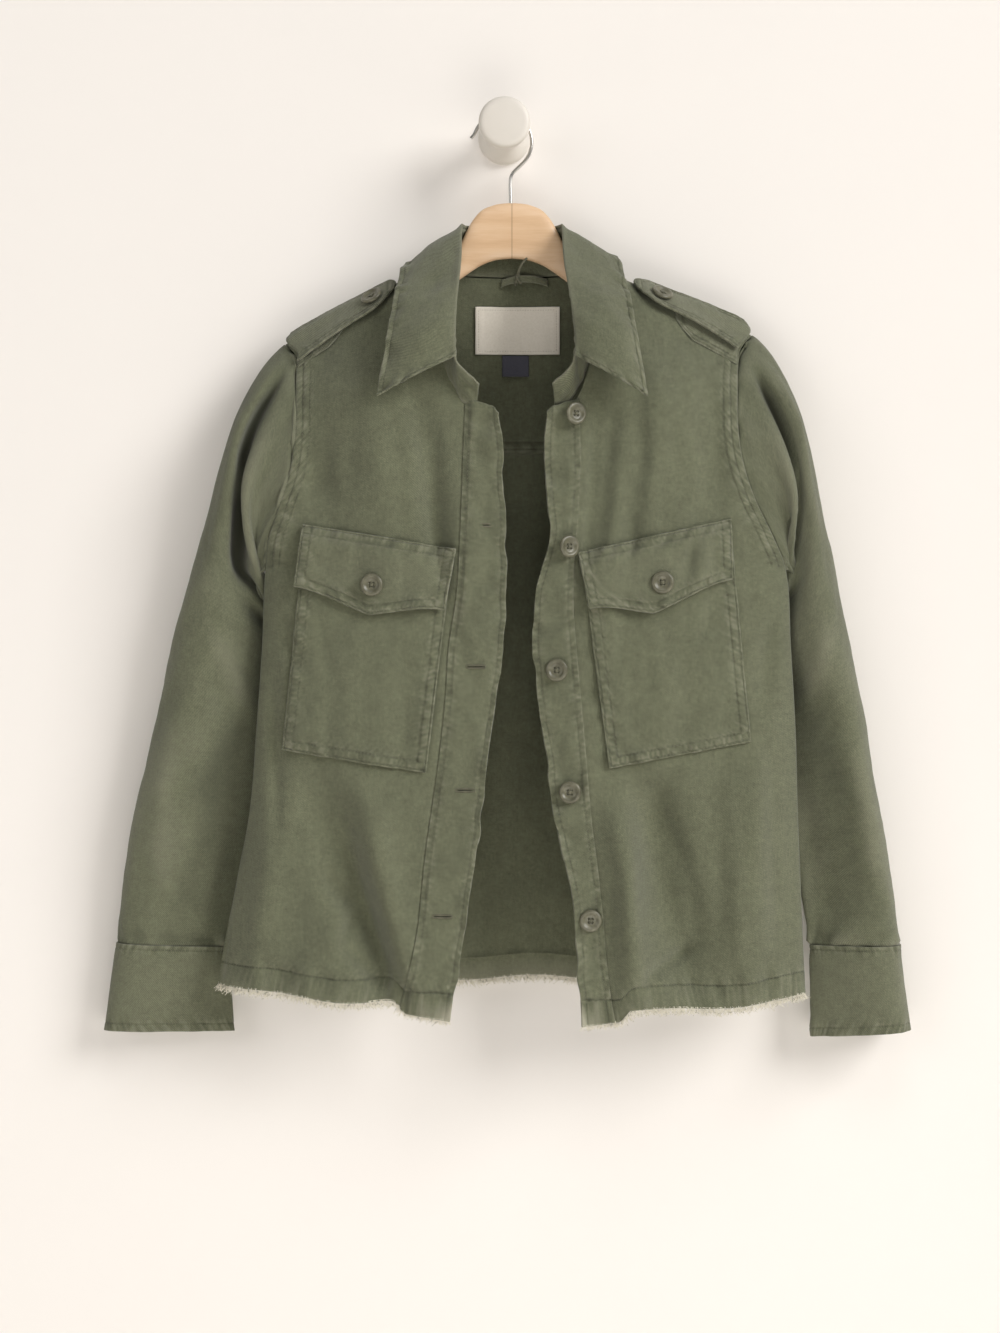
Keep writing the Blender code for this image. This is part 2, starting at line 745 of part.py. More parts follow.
def collar_points(u):
    """The neckline, the top of the stand and the leaf edge at u, 0 right front to 1 left."""
    half = 1 - abs(2 * u - 1)
    sign = -1 if u < 0.5 else 1
    row = collar_line(half)
    spread = LEFT_SPREAD * (1 - ease(half / 0.6)) if u > 0.5 else 0
    neck_out = row[0] + spread
    depth = back_depth if half > 0.66 else front_depth
    neck = at(sign * neck_out, depth(sign * neck_out, row[1]), row[1])
    top = at(sign * (row[2] + spread), row[3], row[4])
    edge = at(sign * row[5], row[6], row[7])
    return neck, top, edge, row[8]


def stand_place(u, v):
    """The stand: u runs round the neck and v from the neckline up."""
    neck, top, _, _ = collar_points(u)
    rise = (top - neck).normalized() * STAND_GAP
    return (neck + rise).lerp(top, v)


def leaf_place(u, v):
    """The leaf: u runs round the neck and v from the roll down to its edge."""
    u = mix(LEAF_START / 2, 1 - LEAF_START / 2, u)
    neck, top, edge, puff = collar_points(u)
    step = 0.01
    before = collar_points(max(u - step, LEAF_START / 2))[1]
    after = collar_points(min(u + step, 1 - LEAF_START / 2))[1]
    outward = (after - before).cross(edge - top).normalized()
    rise = (top - neck).normalized()
    start = top + rise * ROLL_RISE + outward * ROLL_OUT
    swell = puff * (1 - (2 * v - 1) ** 2)
    swell += LEAF_WAVE * math.sin(math.pi * v) * math.sin(22 * u) * min(puff / 4, 1)
    return start.lerp(edge, v) + outward * swell


def shoulder_walk(across, distance):
    """A point of the shoulder at a distance in front of its line, and the outward normal."""
    height = ridge_height(across)
    panel = "front" if distance > 0 else "back"
    depth = front_depth if distance > 0 else back_depth
    drops = [60 * (i / 48) ** 2 for i in range(49)]
    depths_there = [depth(across, height - drop) for drop in drops]
    walked = 0.0
    for i in range(48):
        forward = abs(depths_there[i + 1] - depths_there[i])
        down = drops[i + 1] - drops[i]
        pace = math.hypot(forward, down)
        if walked + pace >= abs(distance) or i == 47:
            break
        walked += pace
    share = min((abs(distance) - walked) / pace, 1.0)
    point = at(across, mix(*depths_there[i : i + 2], share), height - mix(*drops[i : i + 2], share))
    facing = -1 if panel == "front" else 1
    return point, Vector((0, facing * down, forward)).normalized()


def strap_place(side, sizes, lift):
    """A strap along the shoulder: u runs from the sleeve to its point, v from back to front."""
    start, point, half, shift, stiff = sizes
    sign = SIDES[side]

    def place(u, v):
        left = (1 - u) * (start - point)
        width = half * max(0.12, math.sqrt(min(left / (0.9 * half), 1.0)))
        walk = (2 * v - 1) * width
        height = shoulder_walk(sign * mix(start, point, u), shift + walk)[0].z
        across = sign * mix(min(start, outline[side](height)[0] - STRAP_END), point, u)
        base, normal = shoulder_walk(across, shift + walk)
        middle, up = shoulder_walk(across, shift)
        flat = middle + Vector((0, -up.z, up.y)) * walk + up * lift
        return (base + normal * lift).lerp(flat, stiff)

    return place


def lying_depth(name, across, height):
    """The foremost depth of a piece near a point, so that another one laid there clears it."""
    points, _ = carriers[name]
    near = (abs(points[:, 0] - MIDDLE - across) < LAID_REACH) & (abs(points[:, 2] - height) < LAID_REACH)
    return points[near, 1].min()


def seated(name, centre, facing, radius):
    """The centre moved along facing until a disc there lies on the piece."""
    points, wall = carriers[name]
    away = points - np.array(centre)
    along = away @ np.array(facing)
    across = np.linalg.norm(away - along[:, None] * np.array(facing), axis=1)
    return centre + facing * (float(along[across < radius].max()) + wall / 2 + LAID)


def pocket_place(side):
    """A patch pocket: u runs from its inner to its outer edge, v from the top down."""
    top_in, top_out, low_out, low_in = POCKETS[side]

    def place(u, v):
        across = mix(mix(top_in[0], top_out[0], u), mix(low_in[0], low_out[0], u), v)
        height = mix(mix(top_in[1], top_out[1], u), mix(low_in[1], low_out[1], u), v)
        belly = POCKET_BELLY * math.sin(math.pi * u) * math.sin(math.pi * v)
        depth = lying_depth(f"front_{side}", across, height)
        return at(across, depth - POCKET_OFF - belly, height)

    return place


def flap_place(side):
    """A pocket flap: u runs from its inner to its outer edge, v from its seam to its edge."""
    top_in, top_out, low_out, low_in, drop, point = FLAPS[side]

    def place(u, v):
        across = mix(mix(top_in[0], top_out[0], u), mix(low_in[0], low_out[0], u), v)
        height = mix(mix(top_in[1], top_out[1], u), mix(low_in[1], low_out[1], u), v)
        reach = u / point if u < point else (1 - u) / (1 - point)
        height -= drop * v * ease(reach * 0.75) / ease(0.75)
        depth = lying_depth(f"front_{side}", across, height)
        depth -= mix(FLAP_SEAT, FLAP_OFF, ease(v / 0.25)) + FLAP_LIFT * v * v
        return at(across, depth, height)

    return place


def button(name, centre, facing):
    """A sewn button with a raised rim, its back towards the cloth."""
    r = BUTTON / 2
    t = BUTTON_THICK
    profile = (
        (0, 0.55 * t),
        (0.66 * r, 0.55 * t),
        (0.74 * r, t),
        (0.9 * r, t),
        (r, 0.62 * t),
        (0.82 * r, 0),
        (0, 0),
    )
    turn = Vector(facing).to_track_quat("Z", "Y").to_matrix().to_4x4()
    place = Matrix.Translation(centre * MM) @ turn
    turned(name, profile, BUTTON_STEPS, "button", place)


def make_buttons():
    for name, on, across, height, turn in BUTTONS:
        a = math.radians(turn)
        facing = Vector((math.sin(a), -math.cos(a), 0))
        depth = lying_depth(on, across, height)
        button(f"button_{name}", seated(on, at(across, depth, height), facing, BUTTON / 2), facing)
    for side, sizes in STRAPS.items():
        strap = strap_place(side, sizes, STRAP_OFF)
        inward, v = STRAP_BUTTONS[side]
        u = 1 - inward / (sizes[0] - sizes[1])
        along = strap(u + 0.05, v) - strap(u - 0.05, v)
        facing = (strap(u, v + 0.2) - strap(u, v - 0.2)).cross(along).normalized()
        facing *= math.copysign(1.0, facing.z)
        centre = seated(f"strap_{side}", strap(u, v), facing, BUTTON / 2)
        button(f"button_strap_{side}", centre, facing)


def label_place(middle, size):
    """A label on the inside of the yoke: u runs to the wearer's left, v down."""

    def place(u, v):
        across = middle[0] + (u - 0.5) * size[0]
        height = middle[1] - (v - 0.5) * size[1]
        return at(across, lying_depth("yoke", across, height) - LABEL_OFF, height)

    return place


def loop_place(u, v):
    """The hanging loop inside the neck: u runs along it, v across."""
    across = mix(LOOP_ROOTS[0], LOOP_ROOTS[1], u)
    rise = math.sin(math.pi * u) ** 0.7
    root = back_top(across) - LOOP_DOWN
    seat = CLOTH / 2 + LAID + LOOP_THICK / 2
    depth = lying_depth("yoke", across, root) - seat - LOOP_BOW * rise
    return at(across, depth, root + LOOP_RISE * rise + (v - 0.5) * LOOP_WIDTH)


def hanger_place(u, v):
    """The hanger: u runs round its section and v from the right tip to the left tip."""
    across = HANGER_ARM[-1][0] * (2 * v - 1)
    out = abs(across)
    top, low, depth, half = hanger_line[0](out) if out <= NECK_OUT else hanger_line[1](out)
    if out > NECK_OUT:
        top = ridge_height(across) - top - CLOTH / 2
        low += ridge_height(across) - ridge_height(-out)
    angle = 2 * math.pi * (u % 1.0)
    around = math.cos(angle)
    up = math.sin(angle)
    depth += half * math.copysign(abs(around) ** 0.8, around)
    return at(across, depth, (top + low) / 2 + (top - low) / 2 * up)


def hook_points():
    """The wire from the hanger up and over the peg, in order, with its tip turned out."""
    top = PEG_WAIST + SEAM + WIRE / 2
    centre = Vector((-1.5, HOOK_Y, top - HOOK_RADIUS))
    stem = MIDDLE - 1.0
    points = [Vector((stem, HOOK_Y, -62.4)), Vector((stem - 0.4, HOOK_Y, -50))]
    points += [Vector((stem - 0.4, HOOK_Y, -42)), Vector((stem + 2.2, HOOK_Y, -37))]
    for degrees in range(-48, 160, 16):
        a = math.radians(degrees)
        points.append(centre + HOOK_RADIUS * Vector((math.cos(a), 0, math.sin(a))))
    tip = points[-1]
    points += [tip + Vector((-1.6, 0, -3.2)), tip + Vector((-4.2, 0, -6.0))]
    return points


def make_hook():
    curve = bpy.data.curves.new("hook", "CURVE")
    curve.dimensions = "3D"
    curve.bevel_depth = WIRE / 2 * MM
    curve.bevel_resolution = 2
    curve.use_fill_caps = True
    spline = curve.splines.new("POLY")
    points = hook_points()
    spline.points.add(len(points) - 1)
    for point, co in zip(spline.points, points):
        point.co = (*(co * MM), 1)
    piece = bpy.data.objects.new("hook", curve)
    bpy.data.collections["military_jacket"].objects.link(piece)
    finish(piece, "hook", "wire")


def make_peg():
    r = PEG_RADIUS
    w = PEG_WAIST
    profile = (
        (0, PEG_LENGTH),
        (r - 4, PEG_LENGTH),
        (r - 1.2, PEG_LENGTH - 1.2),
        (r, PEG_LENGTH - 4),
        (r, PEG_LENGTH - 9),
        (r - 3, PEG_LENGTH - 13),
        (w + 1, PEG_LENGTH - 18),
        (w, PEG_LENGTH - 24),
        (w, 24),
        (w + 2, 15),
        (r - 2, 8),
        (r + 0.7, 4),
        (r + 0.7, 0),
        (0, 0),
    )
    turned("peg", profile, 24, "paint", Matrix.Rotation(math.pi / 2, 4, "X"))


def make_jacket():
    cloth("yoke", 20, 7, yoke_place)
    cloth("back", 18, 15, back_place)
    for side in SIDES:
        cloth(f"front_{side}", 12, 24, front_place(side))
        cloth(f"placket_{side}", 2, 24, placket_place(side), DOUBLE, "twill_facing")
        cloth(f"sleeve_{side}", 20, 20, sleeve_place(side), tube=True)
        cloth(f"cuff_{side}", 20, 2, cuff_place(side), DOUBLE, tube=True)
        cloth(f"pocket_{side}", 8, 9, pocket_place(side))
        cloth(f"flap_{side}", 10, 4, flap_place(side), DOUBLE)
        cloth(f"strap_{side}", 10, 6, strap_place(side, STRAPS[side], STRAP_OFF), DOUBLE)
        patch = strap_place(side, STRAP_BASES[side], STRAP_BASE_OFF)
        cloth(f"strap_base_{side}", 6, 4, patch)
    cloth("collar_stand", 32, 2, stand_place, LEAF)
    cloth("collar", 34, 6, leaf_place, LEAF)
    cloth("label", 6, 4, label_place(LABEL_MIDDLE, LABEL), LABEL_THICK, "label")
    tab_middle = (TAB_TOP[0], TAB_TOP[1] - TAB[1] / 2)
    cloth("size_tab", 2, 2, label_place(tab_middle, TAB), LABEL_THICK, "tab")
    cloth("hanger_loop", 8, 1, loop_place, LOOP_THICK)
    make_buttons()


def make_hanger():
    closed_tube("hanger", 12, 30, hanger_place, "wood")
    make_hook()
    make_peg()


def clear_scene():
    for piece in list(bpy.data.objects):
        bpy.data.objects.remove(piece)
    jacket = bpy.data.collections.new("military_jacket")
    bpy.context.scene.collection.children.link(jacket)


clear_scene()
make_hanger()
make_jacket()
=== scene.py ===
"""Looks of the military jacket that hangs open on a wooden hanger from a round wall peg.

The cloth pieces are thin shells on the forms of the part's solids, at the same named sizes,
with their creases, seams, stitches and raw edges. Sizes are in millimetres and become metres
where a mesh is made. "Right" and "left" are the wearer's; "across" runs from the jacket's
centre line to the wearer's left, "out" from it to either side. y < 0 is in front of the wall.
"""

import math

import bmesh
import bpy
import numpy as np
from mathutils import Matrix, Vector

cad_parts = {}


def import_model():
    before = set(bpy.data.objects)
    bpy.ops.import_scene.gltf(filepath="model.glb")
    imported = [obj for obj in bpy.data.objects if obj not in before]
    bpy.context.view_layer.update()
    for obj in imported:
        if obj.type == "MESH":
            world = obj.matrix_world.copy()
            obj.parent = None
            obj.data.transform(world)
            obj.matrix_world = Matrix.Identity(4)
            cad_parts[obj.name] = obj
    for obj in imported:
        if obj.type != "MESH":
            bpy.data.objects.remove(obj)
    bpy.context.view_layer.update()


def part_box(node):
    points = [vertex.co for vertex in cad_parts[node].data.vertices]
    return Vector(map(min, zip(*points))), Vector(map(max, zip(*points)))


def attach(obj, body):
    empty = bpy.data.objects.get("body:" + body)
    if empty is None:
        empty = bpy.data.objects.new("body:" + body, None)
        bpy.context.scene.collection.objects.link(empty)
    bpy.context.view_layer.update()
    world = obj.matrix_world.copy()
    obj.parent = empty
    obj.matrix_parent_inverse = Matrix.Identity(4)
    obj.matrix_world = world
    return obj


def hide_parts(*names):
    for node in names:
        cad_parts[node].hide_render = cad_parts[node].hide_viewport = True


MM = 0.001

# Driving sizes
MIDDLE = 6.4  # the jacket's centre line, beside the peg's
CLOTH = 1.2  # one layer of twill with its stitches
DOUBLE = 2.0  # a folded strip: placket, flap, cuff, strap
LEAF = 1.6  # collar leaf and stand, lightly faced
SEAM = 0.45  # half the gap between two pieces at a seam
LAID = 0.4  # air under a piece that lies on a panel
RIDGE_Y = -44.0  # the shoulder line, over the hanger
SHOULDER = {  # how the shoulder falls from its line: on the drop over the hanger's edge,
    # the share of its depth gained there, and on the drop at which it has its full depth
    "front": (15.0, 0.30, 105.0),
    "back": (11.0, 0.55, 60.0),
}
SIDE_GAP = 1.2  # the back's edge stays this far behind the front's at the side seam
NECK_OUT = 72.0  # where the shoulder seam meets the neckline
NECK_HOLLOW = 63.0  # inside this the neckline runs free of the hanger
NECK_END = -235.0  # height at which the neckline reaches the placket
YOKE_SEAM = -275.0
UNDERARM = -378.0
HEM = -745.0  # height that the panels' rows run to
FRONT_HEMS = {"right": (-742.0, -730.0), "left": (-748.0, -740.0)}  # in front, at the side
BACK_HEM = -731.0
HEM_WAVE = 2.6
HEM_DROP = 10.0  # the corners beside the opening hang this much lower
HEM_CORNER = 102.0  # the drop starts this far out
HEM_CORNER_WIDTH = 14.0
BACK_NECK = -126.0
PLACKET_SLANT = 9.0  # the placket's top falls this far towards its edge
PLACKET_CURL = 3.0  # its free edge waves in and out
SLEEVE = 535.0  # armhole to cuff
CUFF = 77.0  # its seam to its open edge
STAND = 32.0  # the stand's height, along the cloth
COLLAR_LENGTH = 480.0  # along the roll
SLEEVE_GAP = 0.85  # from the armhole's line to the sleeve's
ARMHOLE_BLEND = 0.16  # share of a sleeve that turns from the armhole's loop to a tube
RING_SKEW = 0.72  # a sleeve is fuller on its outer half
ROLL_RISE = 2.9  # where the leaf starts over the stand's top
ROLL_OUT = 1.3
POCKET_OFF = CLOTH + LAID  # between the middles of the two cloths
POCKET_BELLY = 2.5
FLAP_SEAT = CLOTH / 2 + LAID + DOUBLE / 2  # at its seam
FLAP_OFF = POCKET_OFF + POCKET_BELLY + CLOTH / 2 + LAID + DOUBLE / 2  # over the pocket
STRAP_BASE_OFF = CLOTH + LAID + 0.35
STRAP_OFF = STRAP_BASE_OFF + CLOTH / 2 + LAID + DOUBLE / 2
LABEL_THICK = 1.0
LABEL_OFF = CLOTH / 2 + LAID + LABEL_THICK / 2
PEG_LENGTH = 72.0
PEG_RADIUS = 22.0
PEG_WAIST = 12.0
WIRE = 3.0
HOOK_RADIUS = 25.0
HOOK_Y = -40.0
BUTTON = 19.0
BUTTON_THICK = 3.2

SIDES = {"right": -1.0, "left": 1.0}

# The body's outline on each side: height, distance out, depth of the front panel's edge and
# of the back panel's. Down to the underarm it is the armhole, below that the side fold.
OUTLINE = {
    "right": (
        (-186, 194, -62, -37),
        (-204, 183.5, -72, -33),
        (-254, 183, -77, -31),
        (-303, 189, -79, -33),
        (-333, 199, -77, -40),
        (-356, 206.5, -72, -50),
        (UNDERARM, 209, -64, -64),
        (-444, 212, -63, -63),
        (-516, 217, -63, -63),
        (-582, 222.5, -61, -61),
        (-652, 235.5, -59, -59),
        (-703, 244, -58, -58),
        (-750, 251, -57, -57),
    ),
    "left": (
        (-178, 205, -62, -37),
        (-201, 192.5, -72, -33),
        (-250, 190.5, -77, -31),
        (-290, 195, -79, -33),
        (-320, 205, -77, -40),
        (-350, 220, -72, -50),
        (UNDERARM, 232, -64, -64),
        (-444, 236.5, -63, -63),
        (-516, 240.5, -63, -63),
        (-582, 242.5, -61, -61),
        (-652, 245.5, -59, -59),
        (-703, 247.5, -58, -58),
        (-750, 250, -57, -57),
    ),
}

# The shoulder line: distance out, height on the right and on the left.
RIDGE = (
    (NECK_OUT, -119, -120),
    (105, -137, -134),
    (150, -162, -153),
    (194, -186, -173),
    (206, -192, -178.5),
)

# Down the middle of the body: height, front depth, back depth.
DEPTHS = (
    (-110, -84, -27),
    (-180, -92, -24),
    (-240, -97, -20),
    (-378, -97, -17),
    (-560, -96, -15),
    (-750, -97, -14),
)

# The open fronts: height, placket seam and placket edge, as distances to the wearer's left of
# the centre line.
OPENING = {
    "right": (
        (-235, -39.5, -10.5),
        (-285, -41.5, -7.8),
        (-360, -44.5, -5.0),
        (-405, -47.5, -5.0),
        (-444, -53.5, -7.0),
        (-490, -56.5, -12.7),
        (-540, -62.0, -20.2),
        (-614, -72.5, -29.0),
        (-682, -80.5, -39.4),
        (-732, -92.0, -50.2),
        (-760, -97.0, -56.0),
    ),
    "left": (
        (-235, 56.0, 29.0),
        (-287, 57.5, 26.5),
        (-341, 55.0, 31.5),
        (-368, 53.0, 28.0),
        (-397, 51.6, 19.0),
        (-422, 52.2, 17.5),
        (-450, 54.5, 18.1),
        (-490, 58.0, 21.5),
        (-540, 62.5, 29.0),
        (-587, 66.5, 35.6),
        (-626, 71.5, 44.0),
        (-660, 75.5, 51.5),
        (-706, 80.5, 54.8),
        (-760, 89.0, 59.5),
    ),
}

# The neckline from the shoulder to the placket: height, distance out on the right and left.
NECKLINE = (
    (-119, NECK_OUT, NECK_OUT),
    (-150, 73, 74),
    (-190, 62, 70),
    (-215, 49, 63),
    (NECK_END, 39.5, 56),
)

# How a front's rows run down to the underarm: share of the way, height at the opening.
UPPER_ROWS = ((0.00, -119), (0.25, -172), (0.50, -232), (0.75, -302), (1.00, UNDERARM))
UPPER_SHARE = 0.42  # of a panel's rows
TOP_ROWS = 0.3  # share of the rows that are packed towards the shoulder line
ROW = 2.9  # between a front's rows and between its columns

# Soft folds of the body for each panel and side: upper end (out, height), lower end, width and
# depth. A trough has a negative depth.
FOLDS = {
    ("front", "right"): (
        (134, -640, 94, -750, 15, -7), (165, -600, 150, -750, 26, 4), (120, -215, 112, -345, 22, 3.5),
        (85, -230, 70, -350, 14, -3), (214, -420, 205, -700, 16, -3),
    ),
    ("front", "left"): (
        (112, -560, 158, -715, 27, -7), (92, -580, 104, -750, 18, 4), (205, -560, 208, -750, 24, 4.5),
        (128, -210, 138, -335, 22, 3.5), (90, -225, 95, -350, 13, -3),
    ),
    ("back", "right"): (
        (130, -330, 165, -740, 28, 4.5), (60, -420, 85, -740, 22, -3.5),
    ),
    ("back", "left"): (
        (150, -320, 175, -740, 28, 4.5), (55, -480, 70, -740, 24, -3),
    ),
}

# Rings of a sleeve: along, outer point (out, height), inner point (out, height), depth of the
# outer and of the inner point, half thickness.
SLEEVE_RINGS = {
    "right": (
        (0.00, 194, -186, 209, -380, -44, -62, 20),
        (0.06, 216, -204, 223, -390, -45, -54, 25),
        (0.16, 238, -252, 210, -408, -44, -43, 29),
        (0.28, 259, -328, 187, -433, -42, -28, 28),
        (0.42, 281, -405, 162, -468, -39, -21, 25),
        (0.58, 302, -495, 168, -530, -35, -20, 22),
        (0.80, 327, -608, 208, -616, -30, -22, 17),
        (1.00, 340, -698, 247, -702, -27, -26, 13),
    ),
    "left": (
        (0.00, 205, -178.5, 232, -380, -44, -62, 20),
        (0.06, 228, -200, 248, -389, -45, -54, 25),
        (0.16, 247, -248, 234, -408, -44, -43, 29),
        (0.28, 264, -325, 215, -433, -42, -30, 29),
        (0.42, 281, -400, 203, -466, -39, -26, 27),
        (0.58, 300, -492, 220, -522, -36, -28, 25),
        (0.80, 319, -603, 250, -606, -33, -30, 22),
        (1.00, 333, -699, 262, -700, -31, -29, 19),
    ),
}

# A cuff's open edge, as a ring of a sleeve without its first column.
CUFF_EDGES = {
    "right": (351, -774.5, 240, -775.5, -26, -25, 10),
    "left": (342, -772.5, 259, -779.5, -31, -30, 20),
}

# Soft folds of a sleeve: start (along, degrees round it), end, width and depth. It is 0 degrees
# on the outer side, 90 in front and 180 inside.
SLEEVE_FOLDS = {
    "right": (
        (0.06, 50, 0.4, 95, 15, -6), (0.1, 85, 0.36, 118, 12, 4), (0.4, 60, 0.8, 45, 18, 3),
        (0.42, 105, 0.55, 70, 11, -3.5), (0.15, 290, 0.55, 250, 18, -4), (0.55, 300, 0.95, 280, 16, 3),
    ),
    "left": (
        (0.07, 50, 0.38, 92, 15, -6), (0.1, 85, 0.34, 115, 12, 4), (0.38, 70, 0.85, 50, 18, 3),
        (0.44, 110, 0.62, 75, 12, -3.5), (0.15, 290, 0.55, 250, 18, -4), (0.5, 310, 0.9, 285, 16, 3),
    ),
}

# Half a collar, from the stand's front end to the middle of the back: along, neckline
# (out, height), top of the stand and leaf edge (out, depth, height), and how far the leaf
# stands off the straight line between these two. The leaf starts at LEAF_START.
LEAF_START = 0.10
COLLAR = (
    (0.00, (29, -237), (28, -107, -226), (112, -116, -237), 6),
    (0.10, (43, -233), (46, -112, -206), (112, -116, -237), 6),
    (0.28, (63, -188), (48, -106, -170), (104, -107, -186), 6),
    (0.50, (73, -142), (45, -80, -122), (97, -84, -143), 3),
    (0.66, (NECK_OUT, -119), (43, -46, -86), (88, -46, -116), 0.8),
    (0.74, (67, -122), (37, -37, -86), (74, -27, -131), 2),
    (0.84, (47, -124), (28, -29, -88), (54, -17, -142), 5),
    (1.00, (0, -126), (0, -27, -91), (0, -14, -149), 6),
)
LEFT_SPREAD = 6.0  # the left half of the collar is opened this much wider in front
LEAF_WAVE = 1.6

# Patch pockets: top inner, top outer, bottom outer and bottom inner corner, as distances to
# the wearer's left of the centre line, and heights. The top is under the flap.
POCKETS = {
    "right": ((-51, -376), (-175, -357), (-193, -531), (-72, -550)),
    "left": ((59, -381), (184, -353), (200, -524), (81, -546)),
}

# Their flaps: the corners in the same order, how far the point hangs under the lower edge
# and its place along it from the inner side.
FLAPS = {
    "right": ((-47, -363), (-176, -341.5), (-183, -394), (-56.5, -414), 14, 0.5),
    "left": ((55, -366), (184, -337), (184.5, -388), (64, -413), 15, 0.45),
}
FLAP_LIFT = 3.2

# Shoulder straps: distance out of the sleeve end and of the point, half width, how far the
# middle lies in front of the shoulder line, and how stiff the strip is: 0 wraps the shoulder,
# 1 stays flat across and stands over it.
STRAPS = {
    "right": (192.5, 99, 19.5, 11, 0.8),
    "left": (203.5, 104, 19.5, 8.5, 0.9),
}
# The patches under them, which show in front of the straps.
STRAP_BASES = {
    "right": (192.5, 142, 15, 19, 0),
    "left": (203.5, 139, 17, 23.5, 0),
}
STRAP_END = 1.2  # a strap ends this far inside the armhole

BUTTONS = ("placket_1", "placket_2", "placket_3", "placket_4", "placket_5", "flap_right", "flap_left",
           "strap_right", "strap_left")
BUTTON_HOLE = 0.95  # radius of each of its four holes
HOLE_OUT = 1.45  # a hole from the button's middle, across and up

# The hanger: distance out, top (past the neck: how far it is under the shoulder line),
# bottom height, depth of its middle, half thickness.
HANGER_NECK = (
    (0, -63, -111, -40, 6.0),
    (16, -65.3, -113, -40, 6.0),
    (28, -71.5, -118, -40.5, 6.0),
    (35, -80.5, -122.5, -41, 6.0),
    (44, -98, -129, -42, 6.0),
    (72, -127, -149, -44.5, 6.5),
)
HANGER_ARM = (
    (105, 1.9, -166, -46, 8.0),
    (150, 2.6, -188, -47.3, 7.0),
    (172, 3.6, -198, -47, 6.5),
    (183, 7.5, -201, -47, 5.0),
)

LABEL = (73.0, 41.0)
LABEL_MIDDLE = (4.9, -171.0)
TAB = (23.0, 18.0)
TAB_TOP = (3.2, -192.5)
LOOP_WIDTH = 6.0
LOOP_ROOTS = (-9.0, 31.0)
LOOP_DOWN = 5.2
LOOP_RISE = 4.0
LOOP_BOW = 4.0
LOOP_THICK = 1.0

# Lines of stitches, as distances from the seam or edge that they follow.
ARMHOLE_LINES = (6.5, 12.5)
EDGE_LINES = (4.7,)
POCKET_LINES = (1.8, 8.5)
YOKE_LINES = (1.8, 8.0)
COLLAR_LINES = (4.5,)
STRAP_LINES = (2.0, 6.0)
CUFF_SEAM_LINES = (4.0,)
CUFF_EDGE_LINES = (7.0,)
HEM_STITCH = 19.0
PITCH = 3.0
STITCH = 2.2
THREAD = 0.24

# Finer creases, in the same columns as the soft folds but with any ends.
CREASE_DEPTH = 1.7  # times the depth of their table
CREASES = {
    ("front", "right"): (
        (168, -550, 106, -737, 20, -7), (214, -520, 206, -735, 20, 5), (126, -560, 86, -735, 14, 6.5),
        (128, -200, 96, -345, 16, 2), (150, -215, 160, -345, 13, -3), (78, -240, 64, -370, 9, -3),
        (66, -245, 58, -420, 8, -3.2), (86, -250, 76, -390, 9, 2.2), (140, -604, 99, -739, 8, -4.2),
        (160, -632, 132, -668, 7, -3), (132, -668, 143, -694, 6, -2.4), (143, -694, 118, -722, 6, -3),
        (118, -722, 108, -745, 7, -3.2), (146, -655, 150, -700, 9, 2.2), (196, -410, 178, -470, 8, -2),
        (204, -470, 196, -620, 7, -2.2), (186, -560, 214, -700, 9, 1.8), (176, -232, 170, -330, 9, -2.2),
        (152, -205, 146, -320, 10, 1.8), (98, -200, 84, -300, 8, 1.6),
    ),
    ("front", "left"): (
        (108, -550, 146, -740, 19, -8), (206, -500, 196, -735, 22, 5), (90, -570, 104, -745, 13, 7),
        (132, -200, 104, -345, 16, 3.2), (70, -245, 60, -400, 7, -3.4), (92, -255, 82, -385, 8, 2.6),
        (112, -260, 98, -380, 7, -2), (154, -215, 166, -340, 13, -3), (84, -240, 72, -370, 9, -3),
        (112, -722, 156, -696, 6, -4), (118, -560, 150, -640, 9, -2.6), (150, -640, 160, -700, 8, -2),
        (100, -600, 98, -690, 8, 2), (222, -420, 206, -500, 9, -2.2), (215, -520, 222, -690, 8, -2),
        (182, -560, 190, -700, 9, 2), (172, -225, 176, -330, 9, -2), (150, -200, 156, -315, 10, 1.8),
        (104, -205, 110, -300, 8, -1.6),
    ),
    ("back", "right"): (
        (100, -300, 120, -470, 10, -2), (30, -330, 36, -520, 12, 1.8), (150, -520, 140, -720, 11, -2.4),
    ),
    ("back", "left"): (
        (104, -300, 96, -500, 10, -2), (24, -420, 30, -640, 11, 1.6), (120, -540, 132, -720, 11, -2.2),
    ),
}

